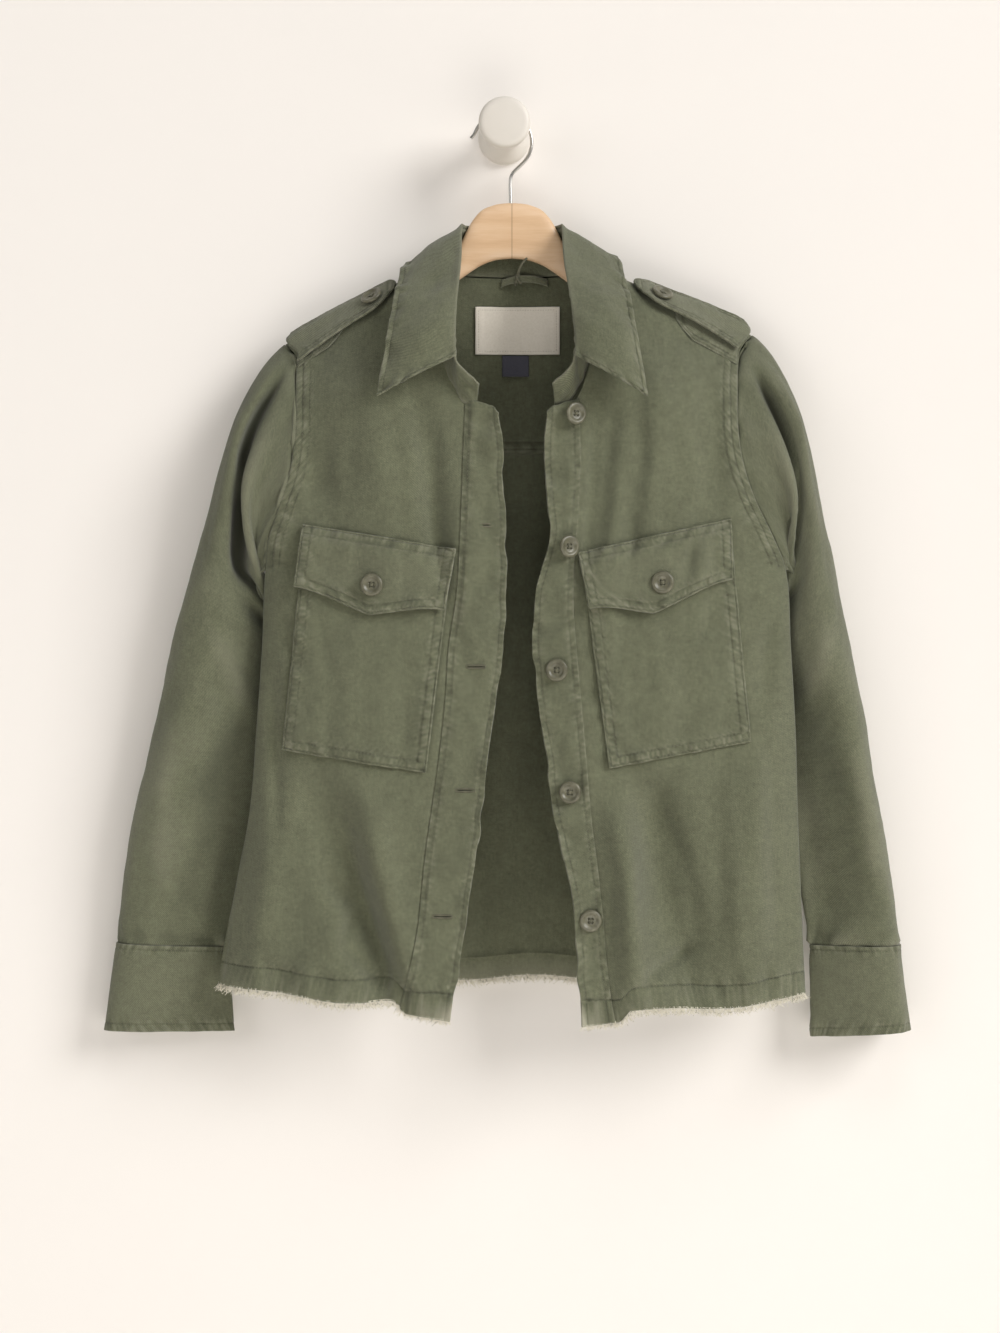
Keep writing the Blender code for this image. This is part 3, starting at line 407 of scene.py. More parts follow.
# Finer creases of a sleeve, in the columns of its soft folds.
SLEEVE_CREASES = {
    "right": (
        (0.07, 42, 0.17, 69, 7, -11), (0.18, 70, 0.31, 78, 6.5, -14), (0.09, 70, 0.26, 106, 12, 3.4),
        (0.3, 84, 0.34, 126, 7, -12), (0.36, 92, 0.42, 126, 7, -6), (0.32, 100, 0.38, 140, 8, 4),
        (0.44, 60, 0.56, 104, 9, 2.5), (0.5, 100, 0.74, 78, 10, -3), (0.62, 40, 0.86, 62, 8, 1.8),
        (0.66, 100, 0.9, 88, 8, -2), (0.1, 20, 0.34, 28, 9, -1.8), (0.2, 250, 0.42, 300, 8, -3),
        (0.46, 290, 0.58, 240, 8, -2.8), (0.64, 262, 0.88, 270, 9, -1.8),
    ),
    "left": (
        (0.07, 44, 0.15, 74, 7, -11), (0.16, 76, 0.26, 90, 6.5, -14), (0.09, 74, 0.2, 112, 11, 3.4),
        (0.24, 100, 0.29, 142, 7, -12), (0.32, 96, 0.38, 134, 7, -6), (0.27, 112, 0.34, 148, 8, 4),
        (0.44, 56, 0.56, 100, 9, 2.5), (0.5, 104, 0.74, 82, 10, -3), (0.64, 46, 0.88, 58, 8, 1.8),
        (0.66, 96, 0.92, 84, 8, -1.8), (0.1, 20, 0.34, 28, 9, -1.8), (0.22, 250, 0.44, 300, 8, -3),
        (0.48, 290, 0.6, 240, 8, -2.8), (0.66, 262, 0.9, 270, 9, -1.8),
    ),
}

DRAWN_IN = {"right": 0.0, "left": 8.5}  # a sleeve's inner side lies this much nearer the body
UNDER_SEAM = 2.2  # how far a cloth runs on under the piece that is sewn over its edge

# Creases of a pocket, in the columns of the panels' creases.
POCKET_CREASES = {
    "right": (
        (70, -430, 84, -520, 8, 1.6), (160, -410, 150, -520, 9, -1.8), (110, -425, 104, -540, 12, 1.4),
    ),
    "left": (
        (172, -400, 160, -440, 7, -2.2), (76, -430, 96, -530, 9, 1.8), (140, -430, 146, -535, 11, -1.8),
        (180, -420, 186, -520, 7, 1.6),
    ),
}

# Creases of a flap, in the same columns.
FLAP_CREASES = {
    "left": (
        (153, -352, 138, -406, 5, -2.6), (165, -354, 151, -410, 7, 3.4), (128, -362, 120, -404, 8, 1.4),
    ),
    "right": (
        (92, -362, 100, -404, 8, 1.4), (168, -350, 176, -392, 8, 1.8),
    ),
}
# Buttonholes: distance to the wearer's left of the centre line, and height.
BUTTONHOLES = ((-21.5, -343), (-29.5, -460), (-39.0, -565), (-59.0, -669))

OLIVE = (0.114, 0.121, 0.073)  # the twill's middle tone

sheets = {}  # the points of each cloth piece and its wall, for what lies on it
added = {}  # what is sewn on each cloth piece
finishes = {}  # the materials by name


def smooth_table(rows):
    """A smooth function, with no overshoot, through rows whose first column is the place.

    It reads an array of places and gives one array for each other column.
    """
    places = np.array([row[0] for row in rows], float)
    order = np.argsort(places)
    places = places[order]
    values = np.array([np.hstack(row[1:]) for row in rows], float)[order]
    slopes = np.gradient(values, places, axis=0)
    rates = np.diff(values, axis=0) / np.diff(places)[:, None]
    before = np.vstack([rates[:1], rates])
    after = np.vstack([rates, rates[-1:]])
    steepest = 3 * np.minimum(abs(before), abs(after)) * (before * after > 0)
    slopes = np.clip(slopes, -steepest, steepest)

    def read(place):
        place = np.clip(np.asarray(place, float), places[0], places[-1])
        i = np.clip(np.searchsorted(places, place, side="right") - 1, 0, len(places) - 2)
        span = (places[i + 1] - places[i])[..., None]
        t = (place - places[i])[..., None] / span
        near = (1 + 2 * t) * (1 - t) ** 2 * values[i] + t * t * (3 - 2 * t) * values[i + 1]
        bend = t * (1 - t) ** 2 * slopes[i] - t * t * (1 - t) * slopes[i + 1]
        return np.moveaxis(near + bend * span, -1, 0)

    return read


outline = {side: smooth_table(rows) for side, rows in OUTLINE.items()}
ridge = smooth_table(RIDGE)
depths = smooth_table(DEPTHS)
opening = {side: smooth_table(rows) for side, rows in OPENING.items()}
neckline = smooth_table(NECKLINE)
collar_line = smooth_table(COLLAR)
sleeve_ring = {side: smooth_table(rows) for side, rows in SLEEVE_RINGS.items()}
upper_rows = smooth_table(UPPER_ROWS)
hanger_line = (smooth_table(HANGER_NECK), smooth_table(HANGER_ARM))


def mix(a, b, share):
    return a + (b - a) * share


def ease(t):
    """A smooth step from 0 to 1."""
    t = np.clip(t, 0.0, 1.0)
    return t * t * (3 - 2 * t)


def bell(away, width):
    """1 where away is 0, close to nothing at twice the width from there."""
    return np.exp(-((away / width) ** 2))


def by_side(tables, across, place):
    """Each place read from the table of its own side."""
    return np.where(np.asarray(across) > 0, tables["left"](place), tables["right"](place))


def noise(x, y, seed):
    """Smooth value noise from -1 to 1, one cell for each unit of x and y."""
    lattice = np.random.default_rng(seed).uniform(-1, 1, (128, 128))
    x = np.asarray(x, float) + 512.0
    y = np.asarray(y, float) + 512.0
    i = np.floor(x).astype(int)
    j = np.floor(y).astype(int)
    a = ease(x - i)
    b = ease(y - j)
    low = mix(lattice[i % 128, j % 128], lattice[(i + 1) % 128, j % 128], a)
    high = mix(lattice[i % 128, (j + 1) % 128], lattice[(i + 1) % 128, (j + 1) % 128], a)
    return mix(low, high, b)


def rumple(x, y, seed):
    """Washed cloth's uneven lie: broad swells with finer ones on them, in millimetres."""
    lie = 2.3 * noise(x / 44 + y / 260, y / 130, seed) + 1.6 * noise(x / 21 - y / 120, y / 60, seed + 1)
    return lie + 0.55 * noise(x / 10 + y / 50, y / 20, seed + 2) + 0.18 * noise(x / 4.6, y / 7, seed + 3)


def pucker(along, away, seed, pitch=8.5, reach=7.0, height=0.7):
    """Ripples that a stitched seam draws into the cloth beside it."""
    slant = along + 0.35 * away
    wave = noise(slant / pitch, away / 40, seed) + 0.45 * noise(slant / pitch * 2.2, away / 18, seed + 5)
    wave += 0.22 * np.sin(10.7 * slant / pitch) * bell(away, 3.5)
    return 1.7 * height * wave * bell(away, reach)


def grooves(away, lines, cut, width):
    """The dents of lines of stitches, one at each distance from an edge."""
    return sum(cut * bell(away - line, width) for line in lines)


def welt(away, lines, rise=0.6, cut=0.65, width=0.75):
    """A seam allowance under the cloth, thick up to its last line of stitches, cut by each."""
    swell = rise * ease(away / 1.2) * ease((max(lines) + 1.4 - away) / 1.4)
    return swell - grooves(away, lines, cut, width)


def wear_and_dent_shade(away, lines, along, seed):
    """How rubbed the cloth is, with painted shade: pale on edges and high spots of a stitched seam,
    darkened in its dents as painted shade.
    """
    last = max(lines, default=0)
    slant = along + 0.4 * away
    wear_and_shade = 0.36 * bell(away, 0.9)
    for line in lines:
        # paler beside each line from wear; darker on the line itself, painted shade in its dent
        wear_and_shade += 0.14 * bell(away - line - 1.6, 1.0) - 0.80 * bell(away - line, 0.75)
    patch = 0.55 + 0.45 * noise(along / 6, away / 4, seed) + 0.25 * noise(along / 2.2, away / 3, seed + 1)
    ropes = np.sin(1.25 * slant + 2.5 * noise(along / 19, away / 30, seed + 3))
    spots = 0.8 * noise(slant / 3.4, away / 8, seed + 2) + 0.45 * ropes
    spots = spots * bell(away - last / 2, 0.7 * last + 2.2)
    return np.clip(wear_and_shade * patch + 0.5 * spots, -0.8, 1.0)


def ridge_height(across):
    """The height of the shoulder line, which runs level inside the neck."""
    right, left = ridge(np.maximum(np.abs(across), NECK_OUT))
    return np.where(np.asarray(across) < 0, right, left)


def line_fold(x, y, fold, before=0.15, after=0.15, fade=0.45):
    """The relief of one fold: full on the line between its ends, fading beside and past them."""
    x0, y0, x1, y1, width, depth = fold
    dx = x1 - x0
    dy = y1 - y0
    length = np.hypot(dx, dy)
    along = ((x - x0) * dx + (y - y0) * dy) / length**2
    away = ((x - x0) * dy - (y - y0) * dx) / length
    ends = ease((along + before) / fade) * ease((1 + after - along) / fade)
    return depth * ends * bell(away, width)


def folded(table, panel, across, height, after=0.15):
    """The relief of a panel's folds, each on its own side."""
    total = 0.0
    for side, sign in SIDES.items():
        here = sign * across
        for fold in table[panel, side]:
            total += np.where(here < 0, 0, line_fold(here, height, fold, after=after))
    return total


def fold_depth(panel, across, height):
    """The part's own soft folds, which run on past their lower ends."""
    return folded(FOLDS, panel, across, height, after=0.5)


def crease_depth(panel, across, height):
    return CREASE_DEPTH * folded(CREASES, panel, across, height)


def shoulder_share(panel, drop):
    """The share of its depth that a panel has at a drop below the shoulder line."""
    edge, gained, reach = SHOULDER[panel]
    over = 1 - np.clip(drop / edge, 0, 1)
    down = np.clip(drop / reach, 0, 1)
    return gained * np.sqrt(1 - over**2) + (1 - gained) * np.sin(math.pi / 2 * down)


def over_shoulder(panel, across, height, depth):
    """A depth brought back to the shoulder line near the top, round as over the hanger."""
    share = shoulder_share(panel, ridge_height(across) - height)
    held = ease((abs(across) - NECK_HOLLOW) / (NECK_OUT - NECK_HOLLOW))
    return mix(depth, mix(RIDGE_Y, depth, share), held)


def calm(across, height):
    """Fine relief fades out on the shoulder line and in the side fold."""
    out = by_side(outline, across, height)[0]
    side = ease((1 - abs(across) / out) * 9)
    return side * ease((ridge_height(across) - height - 4) / 22)


def front_plain(across, height):
    """The part's own front surface."""
    out, edge, _ = by_side(outline, across, height)
    share = np.minimum(abs(across) / out, 1.0)
    below = ease((UNDERARM + 60 - height) / 90)
    flat = (1 - share**3) ** mix(1.0, 0.62, below)
    depth = mix(edge, depths(height)[0], flat)
    depth = depth - fold_depth("front", across, height) * ease((1 - share) * 6)
    return over_shoulder("front", across, height, depth) - SEAM


def hem_height(panel, across):
    """The raw hem hangs in shallow waves, and lies higher behind."""
    across = np.asarray(across, float)
    out = by_side(outline, across, np.full(across.shape, HEM))[0]
    front = np.where(across > 0, FRONT_HEMS["left"][0], FRONT_HEMS["right"][0])
    edge = np.where(across > 0, FRONT_HEMS["left"][1], FRONT_HEMS["right"][1])
    middle = front if panel == "front" else BACK_HEM
    level = mix(edge, middle, 1 - np.minimum(abs(across) / out, 1) ** 4)
    if panel == "front":
        level = level - HEM_DROP * ease((HEM_CORNER - abs(across)) / HEM_CORNER_WIDTH)
    return level + HEM_WAVE * np.sin(across / 24 + 0.6) * np.cos(across / 61)


def beside_armhole(height):
    """1 beside the armhole, 0 beside the side seam under it."""
    return ease((height - UNDERARM + 12) / 30)


def armhole_welt(across, height, away):
    seam = welt(away, ARMHOLE_LINES) * beside_armhole(height)
    return seam * ease((ridge_height(across) - height) / 8)


def hem_groove(from_hem):
    """The dent of the line of stitches above the raw hem."""
    return 0.9 * bell(from_hem - HEM_STITCH, 1.1)


def hem_wear_and_dent_shade(from_hem, along, seed):
    # pale at the raw edge from wear; the stitch line above it is darkened as painted shade in its dent
    stitched = 0.8 * wear_and_dent_shade(from_hem, (HEM_STITCH,), along, seed) - 0.3 * bell(from_hem - HEM_STITCH, 0.9)
    return 0.2 * np.exp(-from_hem) + stitched


def front_relief(across, height):
    """What lifts or sinks the front's cloth off the part's plain surface."""
    seam = by_side(opening, across, np.minimum(height, NECK_END))[0]
    from_seam = abs(across) - abs(seam)
    from_armhole = by_side(outline, across, height)[0] - abs(across)
    armhole = beside_armhole(height)
    from_hem = height - hem_height("front", across)
    relief = rumple(across, height, 11) + crease_depth("front", across, height)
    relief += pucker(height, from_armhole - 9, 21, height=1.3) * armhole
    relief += pucker(height, from_armhole, 22, reach=9, height=0.5) * (1 - armhole)
    relief += pucker(height, from_seam, 23, height=0.7) * ease((NECK_END + 40 - height) / 60)
    relief += pucker(across, from_hem - HEM_STITCH, 24, pitch=9, reach=10, height=1.7)
    relief += 0.7 * noise(across / 5, 0 * across, 25) * np.exp(-from_hem / 5)
    relief *= calm(across, height)
    return relief + armhole_welt(across, height, from_armhole) - hem_groove(from_hem)


def front_skin(across, height):
    return front_plain(across, height) - front_relief(across, height)


def back_plain(across, height):
    """The part's own back surface."""
    out, _, edge = by_side(outline, across, height)
    share = np.minimum(abs(across) / out, 1.0)
    below = ease((UNDERARM + 60 - height) / 90)
    flat = (1 - share**1.7) ** mix(1.0, 0.85, below)
    depth = mix(edge, depths(height)[1], flat)
    depth = depth + fold_depth("back", across, height) * ease((1 - share) * 6)
    depth = depth + SIDE_GAP * ease((UNDERARM + 50 - height) / 40) * share**24
    return over_shoulder("back", across, height, depth) + SEAM


def back_skin(across, height):
    """The back's cloth, with the yoke's seam and stitches across it."""
    from_armhole = by_side(outline, across, height)[0] - abs(across)
    from_hem = height - hem_height("back", across)
    relief = rumple(across, height, 31) + crease_depth("back", across, height)
    relief += pucker(height, from_armhole - 9, 32, height=0.8) * beside_armhole(height)
    relief += pucker(across, abs(height - YOKE_SEAM), 33, height=0.8)
    relief += pucker(across, from_hem - HEM_STITCH, 34, pitch=9, reach=9, height=1.1)
    relief *= calm(across, height)
    relief += armhole_welt(across, height, from_armhole) - hem_groove(from_hem)
    return back_plain(across, height) + relief + welt(height - YOKE_SEAM, YOKE_LINES) * (height > YOKE_SEAM)


def at(across, depth, height):
    """Points as one array whose last axis is x, y, z."""
    return np.stack(np.broadcast_arrays(MIDDLE + np.asarray(across, float), depth, height), axis=-1)


def stops(length, step, start=(), end=()):
    """Places from 0 to length: the named ones near each end, even steps between them."""
    start = [0.0, *start]
    end = [length - place for place in reversed(end)] + [length]
    count = max(2, int(round((end[0] - start[-1]) / step)))
    between = np.linspace(start[-1], end[0], count + 1)[1:-1]
    return np.concatenate([start, between, end])


def spread(widths, step, start=(), end=()):
    """Shares from 0 to 1 for each row: fixed distances near its ends, the rest stretched."""
    rows = []
    count = max(2, int(round((max(widths) - sum(start[-1:]) - sum(end[-1:])) / step)))
    for width in widths:
        first = np.array([0.0, *start])
        last = width - np.array([*reversed(end), 0.0])
        between = np.linspace(first[-1], last[0], count + 1)[1:-1]
        rows.append(np.concatenate([first, between, last]) / width)
    return np.array(rows)


def around_lines(lines, edge=True):
    """Places close together across each stitch line, so that its groove is crisp."""
    places = {0.7, 1.5} if edge else set()
    for line in lines:
        places |= {line - 1.6, line - 0.8, line, line + 0.8, line + 1.6}
    return sorted(place for place in places if place > 0.3)


def facing_of(points):
    """Unit normals of a grid of points."""
    return unit(np.cross(np.gradient(points, axis=1), np.gradient(points, axis=0)))


def link(name, data):
    made = bpy.data.objects.new(name, data)
    bpy.context.scene.collection.objects.link(made)
    return made


def mesh_of(bm, name, smooth=True):
    mesh = bpy.data.meshes.new(name)
    bm.to_mesh(mesh)
    bm.free()
    if smooth:
        mesh.shade_smooth()
    return mesh


def put_in_scene(mesh, name, finish):
    """A piece of the one body, in its finish."""
    piece = link(name, mesh)
    mesh.materials.append(finishes[finish])
    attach(piece, "root")
    return piece


def as_evaluated(made):
    """A new mesh of the object with its modifiers or its curve's thickness."""
    bpy.context.view_layer.update()
    graph = bpy.context.evaluated_depsgraph_get()
    return bpy.data.meshes.new_from_object(made.evaluated_get(graph))


def placed_grid(points):
    """A grid of faces on the points, and the row and column of each of its vertices."""
    rows, columns = points.shape[:2]
    bm = bmesh.new()
    bmesh.ops.create_grid(bm, x_segments=columns - 1, y_segments=rows - 1, size=0.5)
    bm.verts.index_update()
    cells = []
    for vert in bm.verts:
        i = round((vert.co.x + 0.5) * (columns - 1))
        j = round((vert.co.y + 0.5) * (rows - 1))
        cells.append((j, i))
        vert.co = points[j, i] * MM
    return bm, cells


def sheet_mesh(name, points, cut, wear_and_shade, tube):
    """A grid of cells on the points, with its cut size as the UV map in metres."""
    bm, cells = placed_grid(points)
    uv = bm.loops.layers.uv.new("cut")
    # each point's value of wear and painted shade: wear on edges, painted shade in stitch dents, painted
    # light and shade on a sleeve's folds
    wear_and_shade_layer = bm.verts.layers.float.new("wear_and_shade")
    for vert, cell in zip(bm.verts, cells):
        vert[wear_and_shade_layer] = wear_and_shade[cell]
    for face in bm.faces:
        for loop in face.loops:
            cell = cells[loop.vert.index]
            loop[uv].uv = (cut[0][cell] * MM, cut[1][cell] * MM)
    if tube:
        bmesh.ops.remove_doubles(bm, verts=bm.verts, dist=0.01 * MM)
    return mesh_of(bm, name)


def cloth(name, points, cut, wear_and_shade, wall=CLOTH, finish="twill", tube=False):
    """A cloth piece as a thin shell on its points; it replaces the part's solid of its name."""
    mesh = sheet_mesh(name, points, cut, np.broadcast_to(wear_and_shade, points.shape[:2]), tube)
    piece = put_in_scene(mesh, f"{name}_cloth", finish)
    shell = piece.modifiers.new("wall", "SOLIDIFY")
    shell.thickness = wall * MM
    shell.offset = 0
    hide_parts(name)
    sheets[name] = (points, wall)


def row_heights(side, v):
    """The heights of a panel's rows at the middle and at the armhole or side."""
    tip = OUTLINE[side][0][0]
    share = np.minimum(v / UPPER_SHARE, 1)
    below = mix(UNDERARM, HEM, np.maximum(v - UPPER_SHARE, 0) / (1 - UPPER_SHARE))
    inner = np.where(v < UPPER_SHARE, upper_rows(share)[0], below)
    return inner, np.where(v < UPPER_SHARE, mix(tip, UNDERARM, share), below)


def end_rows(lines, length):
    """The last rows of a grid from 0 to 1: close across each stitch line, down to its edge."""
    return 1 - np.array([0.0, *around_lines(lines)])[::-1] / length


def panel_rows():
    """Rows of a front from 0 to 1: close over the shoulder and across the hem's stitches."""
    low = (HEM - UNDERARM) / (UPPER_SHARE - 1)
    hem = end_rows((HEM_STITCH,), low)
    top = TOP_ROWS * np.linspace(0, 1, int(190 / ROW)) ** 1.6
    middle = np.linspace(TOP_ROWS, hem[0], int((hem[0] - TOP_ROWS) * low / ROW))
    return np.concatenate([top[:-1], middle[:-1], hem])


def columns_across(half_width, count):
    """Columns from -1 at the right armhole to 1 at the left one, close across its stitch lines."""
    near = [0.0, *around_lines(ARMHOLE_LINES)]
    half = 1 - np.concatenate([near, np.linspace(near[-1], half_width, count)[1:]]) / half_width
    return np.concatenate([-half, half[::-1][1:]])[None, :]


def lines_across(lines):
    """Rows and columns of the stitch lines above a lower edge."""
    return [(-1 - index, slice(2, -2)) for index in line_columns(lines)]


def lines_beside_armholes(rows):
    return [(rows, place) for index in line_columns(ARMHOLE_LINES) for place in (index, -1 - index)]


def make_front(side):
    """A front: columns run from under the placket out to the armhole, rows down to the hem."""
    sign = SIDES[side]
    v = panel_rows()[:, None]
    inner, outer = row_heights(side, v)
    neck = sign * neckline(inner)[0 if sign < 0 else 1]
    edge = np.where(inner > NECK_END, neck, opening[side](inner)[0])
    start = edge - sign * UNDER_SEAM * ease((NECK_END + 6 - inner) / 12)
    end = sign * (outline[side](outer)[0] - SEAM)
    near_seam = (0.8, 1.6, 2.4, 3.4, 5.0, 7.0)
    share = spread(abs(end - start)[:, 0], ROW, near_seam, around_lines(ARMHOLE_LINES))
    across = mix(start, end, share)
    height = mix(inner, outer, share)
    lift = ridge_height(across) - mix(upper_rows(0.0)[0], OUTLINE[side][0][0], share)
    height = height + lift * np.maximum(0, 1 - v / 0.08)
    height = height + (hem_height("front", across) - HEM) * ease((v - 0.85) / 0.11)
    tucked = ease(1 - abs(across - edge) / UNDER_SEAM) * (abs(across) < abs(edge) + 1.2)
    depth = front_skin(across, height) + 0.55 * tucked * ease((NECK_END + 6 - height) / 12)
    points = at(across, depth, height)
    from_armhole = np.where(height > UNDERARM, outline[side](height)[0] - abs(across), 99)
    from_hem = height - hem_height("front", across)
    wear_and_shade = wear_and_dent_shade(from_armhole, ARMHOLE_LINES, height, 41) + 0.35 * wear_and_dent_shade(abs(across - edge), (), height, 43)
    cloth(f"front_{side}", points, (across, height), wear_and_shade + hem_wear_and_dent_shade(from_hem, across, 44))
    upper = slice(2, row_at(points, UNDERARM + 4))
    lines = [(upper, -1 - index) for index in line_columns(ARMHOLE_LINES)] + lines_across((HEM_STITCH,))
    lay_stitches(f"front_{side}", lines)


def line_columns(lines):
    """How many cells each line of stitches lies from its edge, in a grid made by around_lines."""
    places = [0.0, *around_lines(lines)]
    return [places.index(line) for line in lines]


def row_at(points, height):
    """The row of a panel whose outer end is nearest to a height."""
    return int(np.argmin(abs(points[:, -1, 2] - height)))


def back_top(across):
    """The top of the yoke: the shoulder lines and, between them, the neckline."""
    inside = mix(BACK_NECK, ridge_height(across), np.minimum(abs(across) / NECK_OUT, 1) ** 3)
    return np.where(abs(across) >= NECK_OUT, ridge_height(across), inside)


def make_yoke():
    """The yoke: columns run from the right armhole to the left one, rows down to its seam."""
    share = columns_across(190, 44)
    rows = end_rows(YOKE_LINES, 95)
    v = np.concatenate([np.linspace(0, 1, 34)[:-1] ** 1.7 * rows[0], rows])[:, None]
    tip = np.where(share > 0, OUTLINE["left"][0][0], OUTLINE["right"][0][0])
    outer = mix(tip, YOKE_SEAM, v)
    out = by_side(outline, share, outer)[0] - SEAM
    neck_share = 0.4  # of the columns
    corner = (NECK_OUT - 1) / out
    middle = share / neck_share * corner * out
    sides = np.sign(share) * mix(corner, 1, (abs(share) - neck_share) / (1 - neck_share)) * out
    across = np.where(abs(share) < neck_share, middle, sides)
    top = back_top(across * (by_side(outline, share, tip + 0 * outer)[0] - SEAM) / out)
    height = mix(top, YOKE_SEAM - UNDER_SEAM, v)
    points = at(across, back_skin(across, height), height)
    from_armhole = by_side(outline, across, height)[0] - abs(across)
    wear_and_shade = wear_and_dent_shade(from_armhole, ARMHOLE_LINES, height, 44) + wear_and_dent_shade(height - YOKE_SEAM, YOKE_LINES, across, 45)
    cloth("yoke", points, (across, height), wear_and_shade)
    lay_stitches("yoke", lines_beside_armholes(slice(1, -6)) + lines_across(YOKE_LINES), both=True)


def make_back():
    """The back: columns run from the right side to the left one, rows down to the hem."""
    hem = end_rows((HEM_STITCH,), YOKE_SEAM - HEM)
    v = np.concatenate([np.linspace(0, hem[0], 100)[:-1], hem])[:, None]
    share = columns_across(215, 52)
    height = mix(YOKE_SEAM - 2 * SEAM, HEM, v) + 0 * share
    across = share * (by_side(outline, share + 0 * v, height)[0] - SEAM)
    height = height + (hem_height("back", across) - HEM) * ease((v - 0.75) / 0.2)
    points = at(across, back_skin(across, height), height)
    from_armhole = np.where(height > UNDERARM, by_side(outline, across, height)[0] - abs(across), 99)
    from_hem = height - hem_height("back", across)
    wear_and_shade = wear_and_dent_shade(from_armhole, ARMHOLE_LINES, height, 46)
    wear_and_shade += 0.9 * np.exp(-from_hem / 2.2) + 0.3 * np.exp(-(YOKE_SEAM - height) / 2)
    cloth("back", points, (across, height), wear_and_shade)
    upper = slice(3, row_at(points, UNDERARM))
    lay_stitches("back", lines_across((HEM_STITCH,)) + lines_beside_armholes(upper), both=True)


def make_placket(side):
    """A placket: columns run from its seam to its free edge, rows from the neck to the hem."""
    sign = SIDES[side]
    seed, phase = (51, 0) if side == "left" else (61, 1.5)
    top = NECK_END - 1.5
    hem = end_rows((HEM_STITCH,), top - HEM)
    v = np.concatenate([np.linspace(0, hem[0], 190)[:-1], hem])[:, None]
    height = mix(top, HEM, v)
    seam, edge = opening[side](height)
    seam = seam - sign * SEAM
    lines = around_lines(EDGE_LINES)
    share = spread(abs(edge - seam)[:, 0], 2.2, lines, lines)
    across = mix(seam, edge, share)
    height = height - PLACKET_SLANT * share * (1 - v) ** 8
    corner = 0.9 * noise(across / 4, 0 * across, 58) - 3.0 * ease((share - 0.7) / 0.3) ** 2
    height = height + corner * (1 - v) ** 60
    height = height + (hem_height("front", across) - HEM) * ease((v - 0.8) / 0.16)
    height = height - 4 * share * v**12
    roll = PLACKET_CURL * np.sin(9.5 * v + phase) * share**2
    across = across + 1.3 * noise(height / 15, 0 * height, seed + 6) * share**3
    from_seam = abs(across - seam)
    from_edge = (1 - share) * abs(edge - seam)
    from_hem = height - hem_height("front", across)
    relief = 0.5 * rumple(across, height, seed) + 0.4 * ease(from_seam / 6)
    drag = 2.2 * noise(across / 15 + height / 40, height / 19 - across / 40, seed + 7)
    drag += 0.5 * noise(across / 7, height / 8, seed + 8)
    relief += drag * ease(from_seam / 5) + pucker(height, from_seam, seed + 1, height=1.2)
    relief += pucker(height, from_edge, seed + 2, pitch=13, reach=9, height=1.5)
    relief += pucker(across, from_hem - HEM_STITCH, seed + 3, pitch=9, reach=8, height=1.2)
    relief -= grooves(from_seam, EDGE_LINES, 0.42, 0.7) + grooves(from_edge, EDGE_LINES, 0.42, 0.7)
    relief += 0.5 * bell(from_edge, 2.2) - hem_groove(from_hem)
    relief = mix(front_relief(seam + 0 * across, height) + 0.1, relief, ease(from_seam / 9))
    points = at(across, front_plain(across, height) - roll - relief, height)
    wear_and_shade = wear_and_dent_shade(from_edge, EDGE_LINES, height, seed + 4) + wear_and_dent_shade(from_seam, EDGE_LINES, height, seed + 5)
    cloth(f"placket_{side}", points, (across, height), wear_and_shade + hem_wear_and_dent_shade(from_hem, across, seed + 6), DOUBLE)
    index = line_columns(EDGE_LINES)[0]
    hem_row = -1 - line_columns((HEM_STITCH,))[0]
    lay_stitches(f"placket_{side}", [
        (slice(2, -3), index), (slice(2, -3), -1 - index), (hem_row, slice(1, -1)),
    ])


def armhole_points(side, angle):
    """The armhole, 0 at the shoulder and half a turn at the underarm, tucked under the body."""
    sign = SIDES[side]
    tip = OUTLINE[side][0][0]
    height = mix(UNDERARM, tip, 0.5 + 0.5 * np.cos(angle))
    out = outline[side](height)[0]
    front = front_plain(sign * out, height)
    back = back_plain(sign * out, height)
    return at(sign * (out + SLEEVE_GAP), np.where(np.sin(angle) > 0, front, back), height)


def ring_points(side, ring, angle, swell=0.0):
    """Points on rings of a sleeve or cuff, given by their outer and inner ends."""
    outer, outer_z, inner, inner_z, outer_y, inner_y, half = ring
    turn = np.cos(angle)
    across = (outer + inner) / 2 + (outer - inner) / 2 * turn
    height = (outer_z + inner_z) / 2 + (outer_z - inner_z) / 2 * turn
    depth = (outer_y + inner_y) / 2 + (outer_y - inner_y) / 2 * turn
    bulge = np.sign(np.sin(angle)) * abs(np.sin(angle)) ** 0.85
    depth = depth - bulge * (half + swell) * (1 + RING_SKEW * turn)
    return at(SIDES[side] * across, depth, height)


def sleeve_folds(table, side, v, degrees, girth, fade=0.4):
    """The relief of a sleeve's folds, whose ends lie along it and round it."""
    total = 0.0
    for start, start_turn, end, end_turn, width, depth in table[side]:
        start_place = (start * SLEEVE, start_turn / 360 * girth)
        end_place = (end * SLEEVE, end_turn / 360 * girth)
        fold = (*start_place, *end_place, width, depth)
        total += line_fold(v * SLEEVE, degrees / 360 * girth, fold, fade / 2, fade / 2, fade)
    return total


def outward(points):
    """Unit normals of a tube of points that face away from its middle."""
    wrapped = np.concatenate([points[:, -2:-1], points, points[:, 1:2]], axis=1)
    normals = unit(np.cross(wrapped[:, 2:] - wrapped[:, :-2], np.gradient(points, axis=0)))
    away = points - points[:, :-1].mean(axis=1, keepdims=True)
    return normals * np.sign((normals * away).sum(axis=(1, 2)))[:, None, None]


def drawn_in(side, degrees):
    """How far the inner side of a sleeve or cuff is moved, to lie nearer the body."""
    return SIDES[side] * DRAWN_IN[side] * bell(degrees - 165, 42)


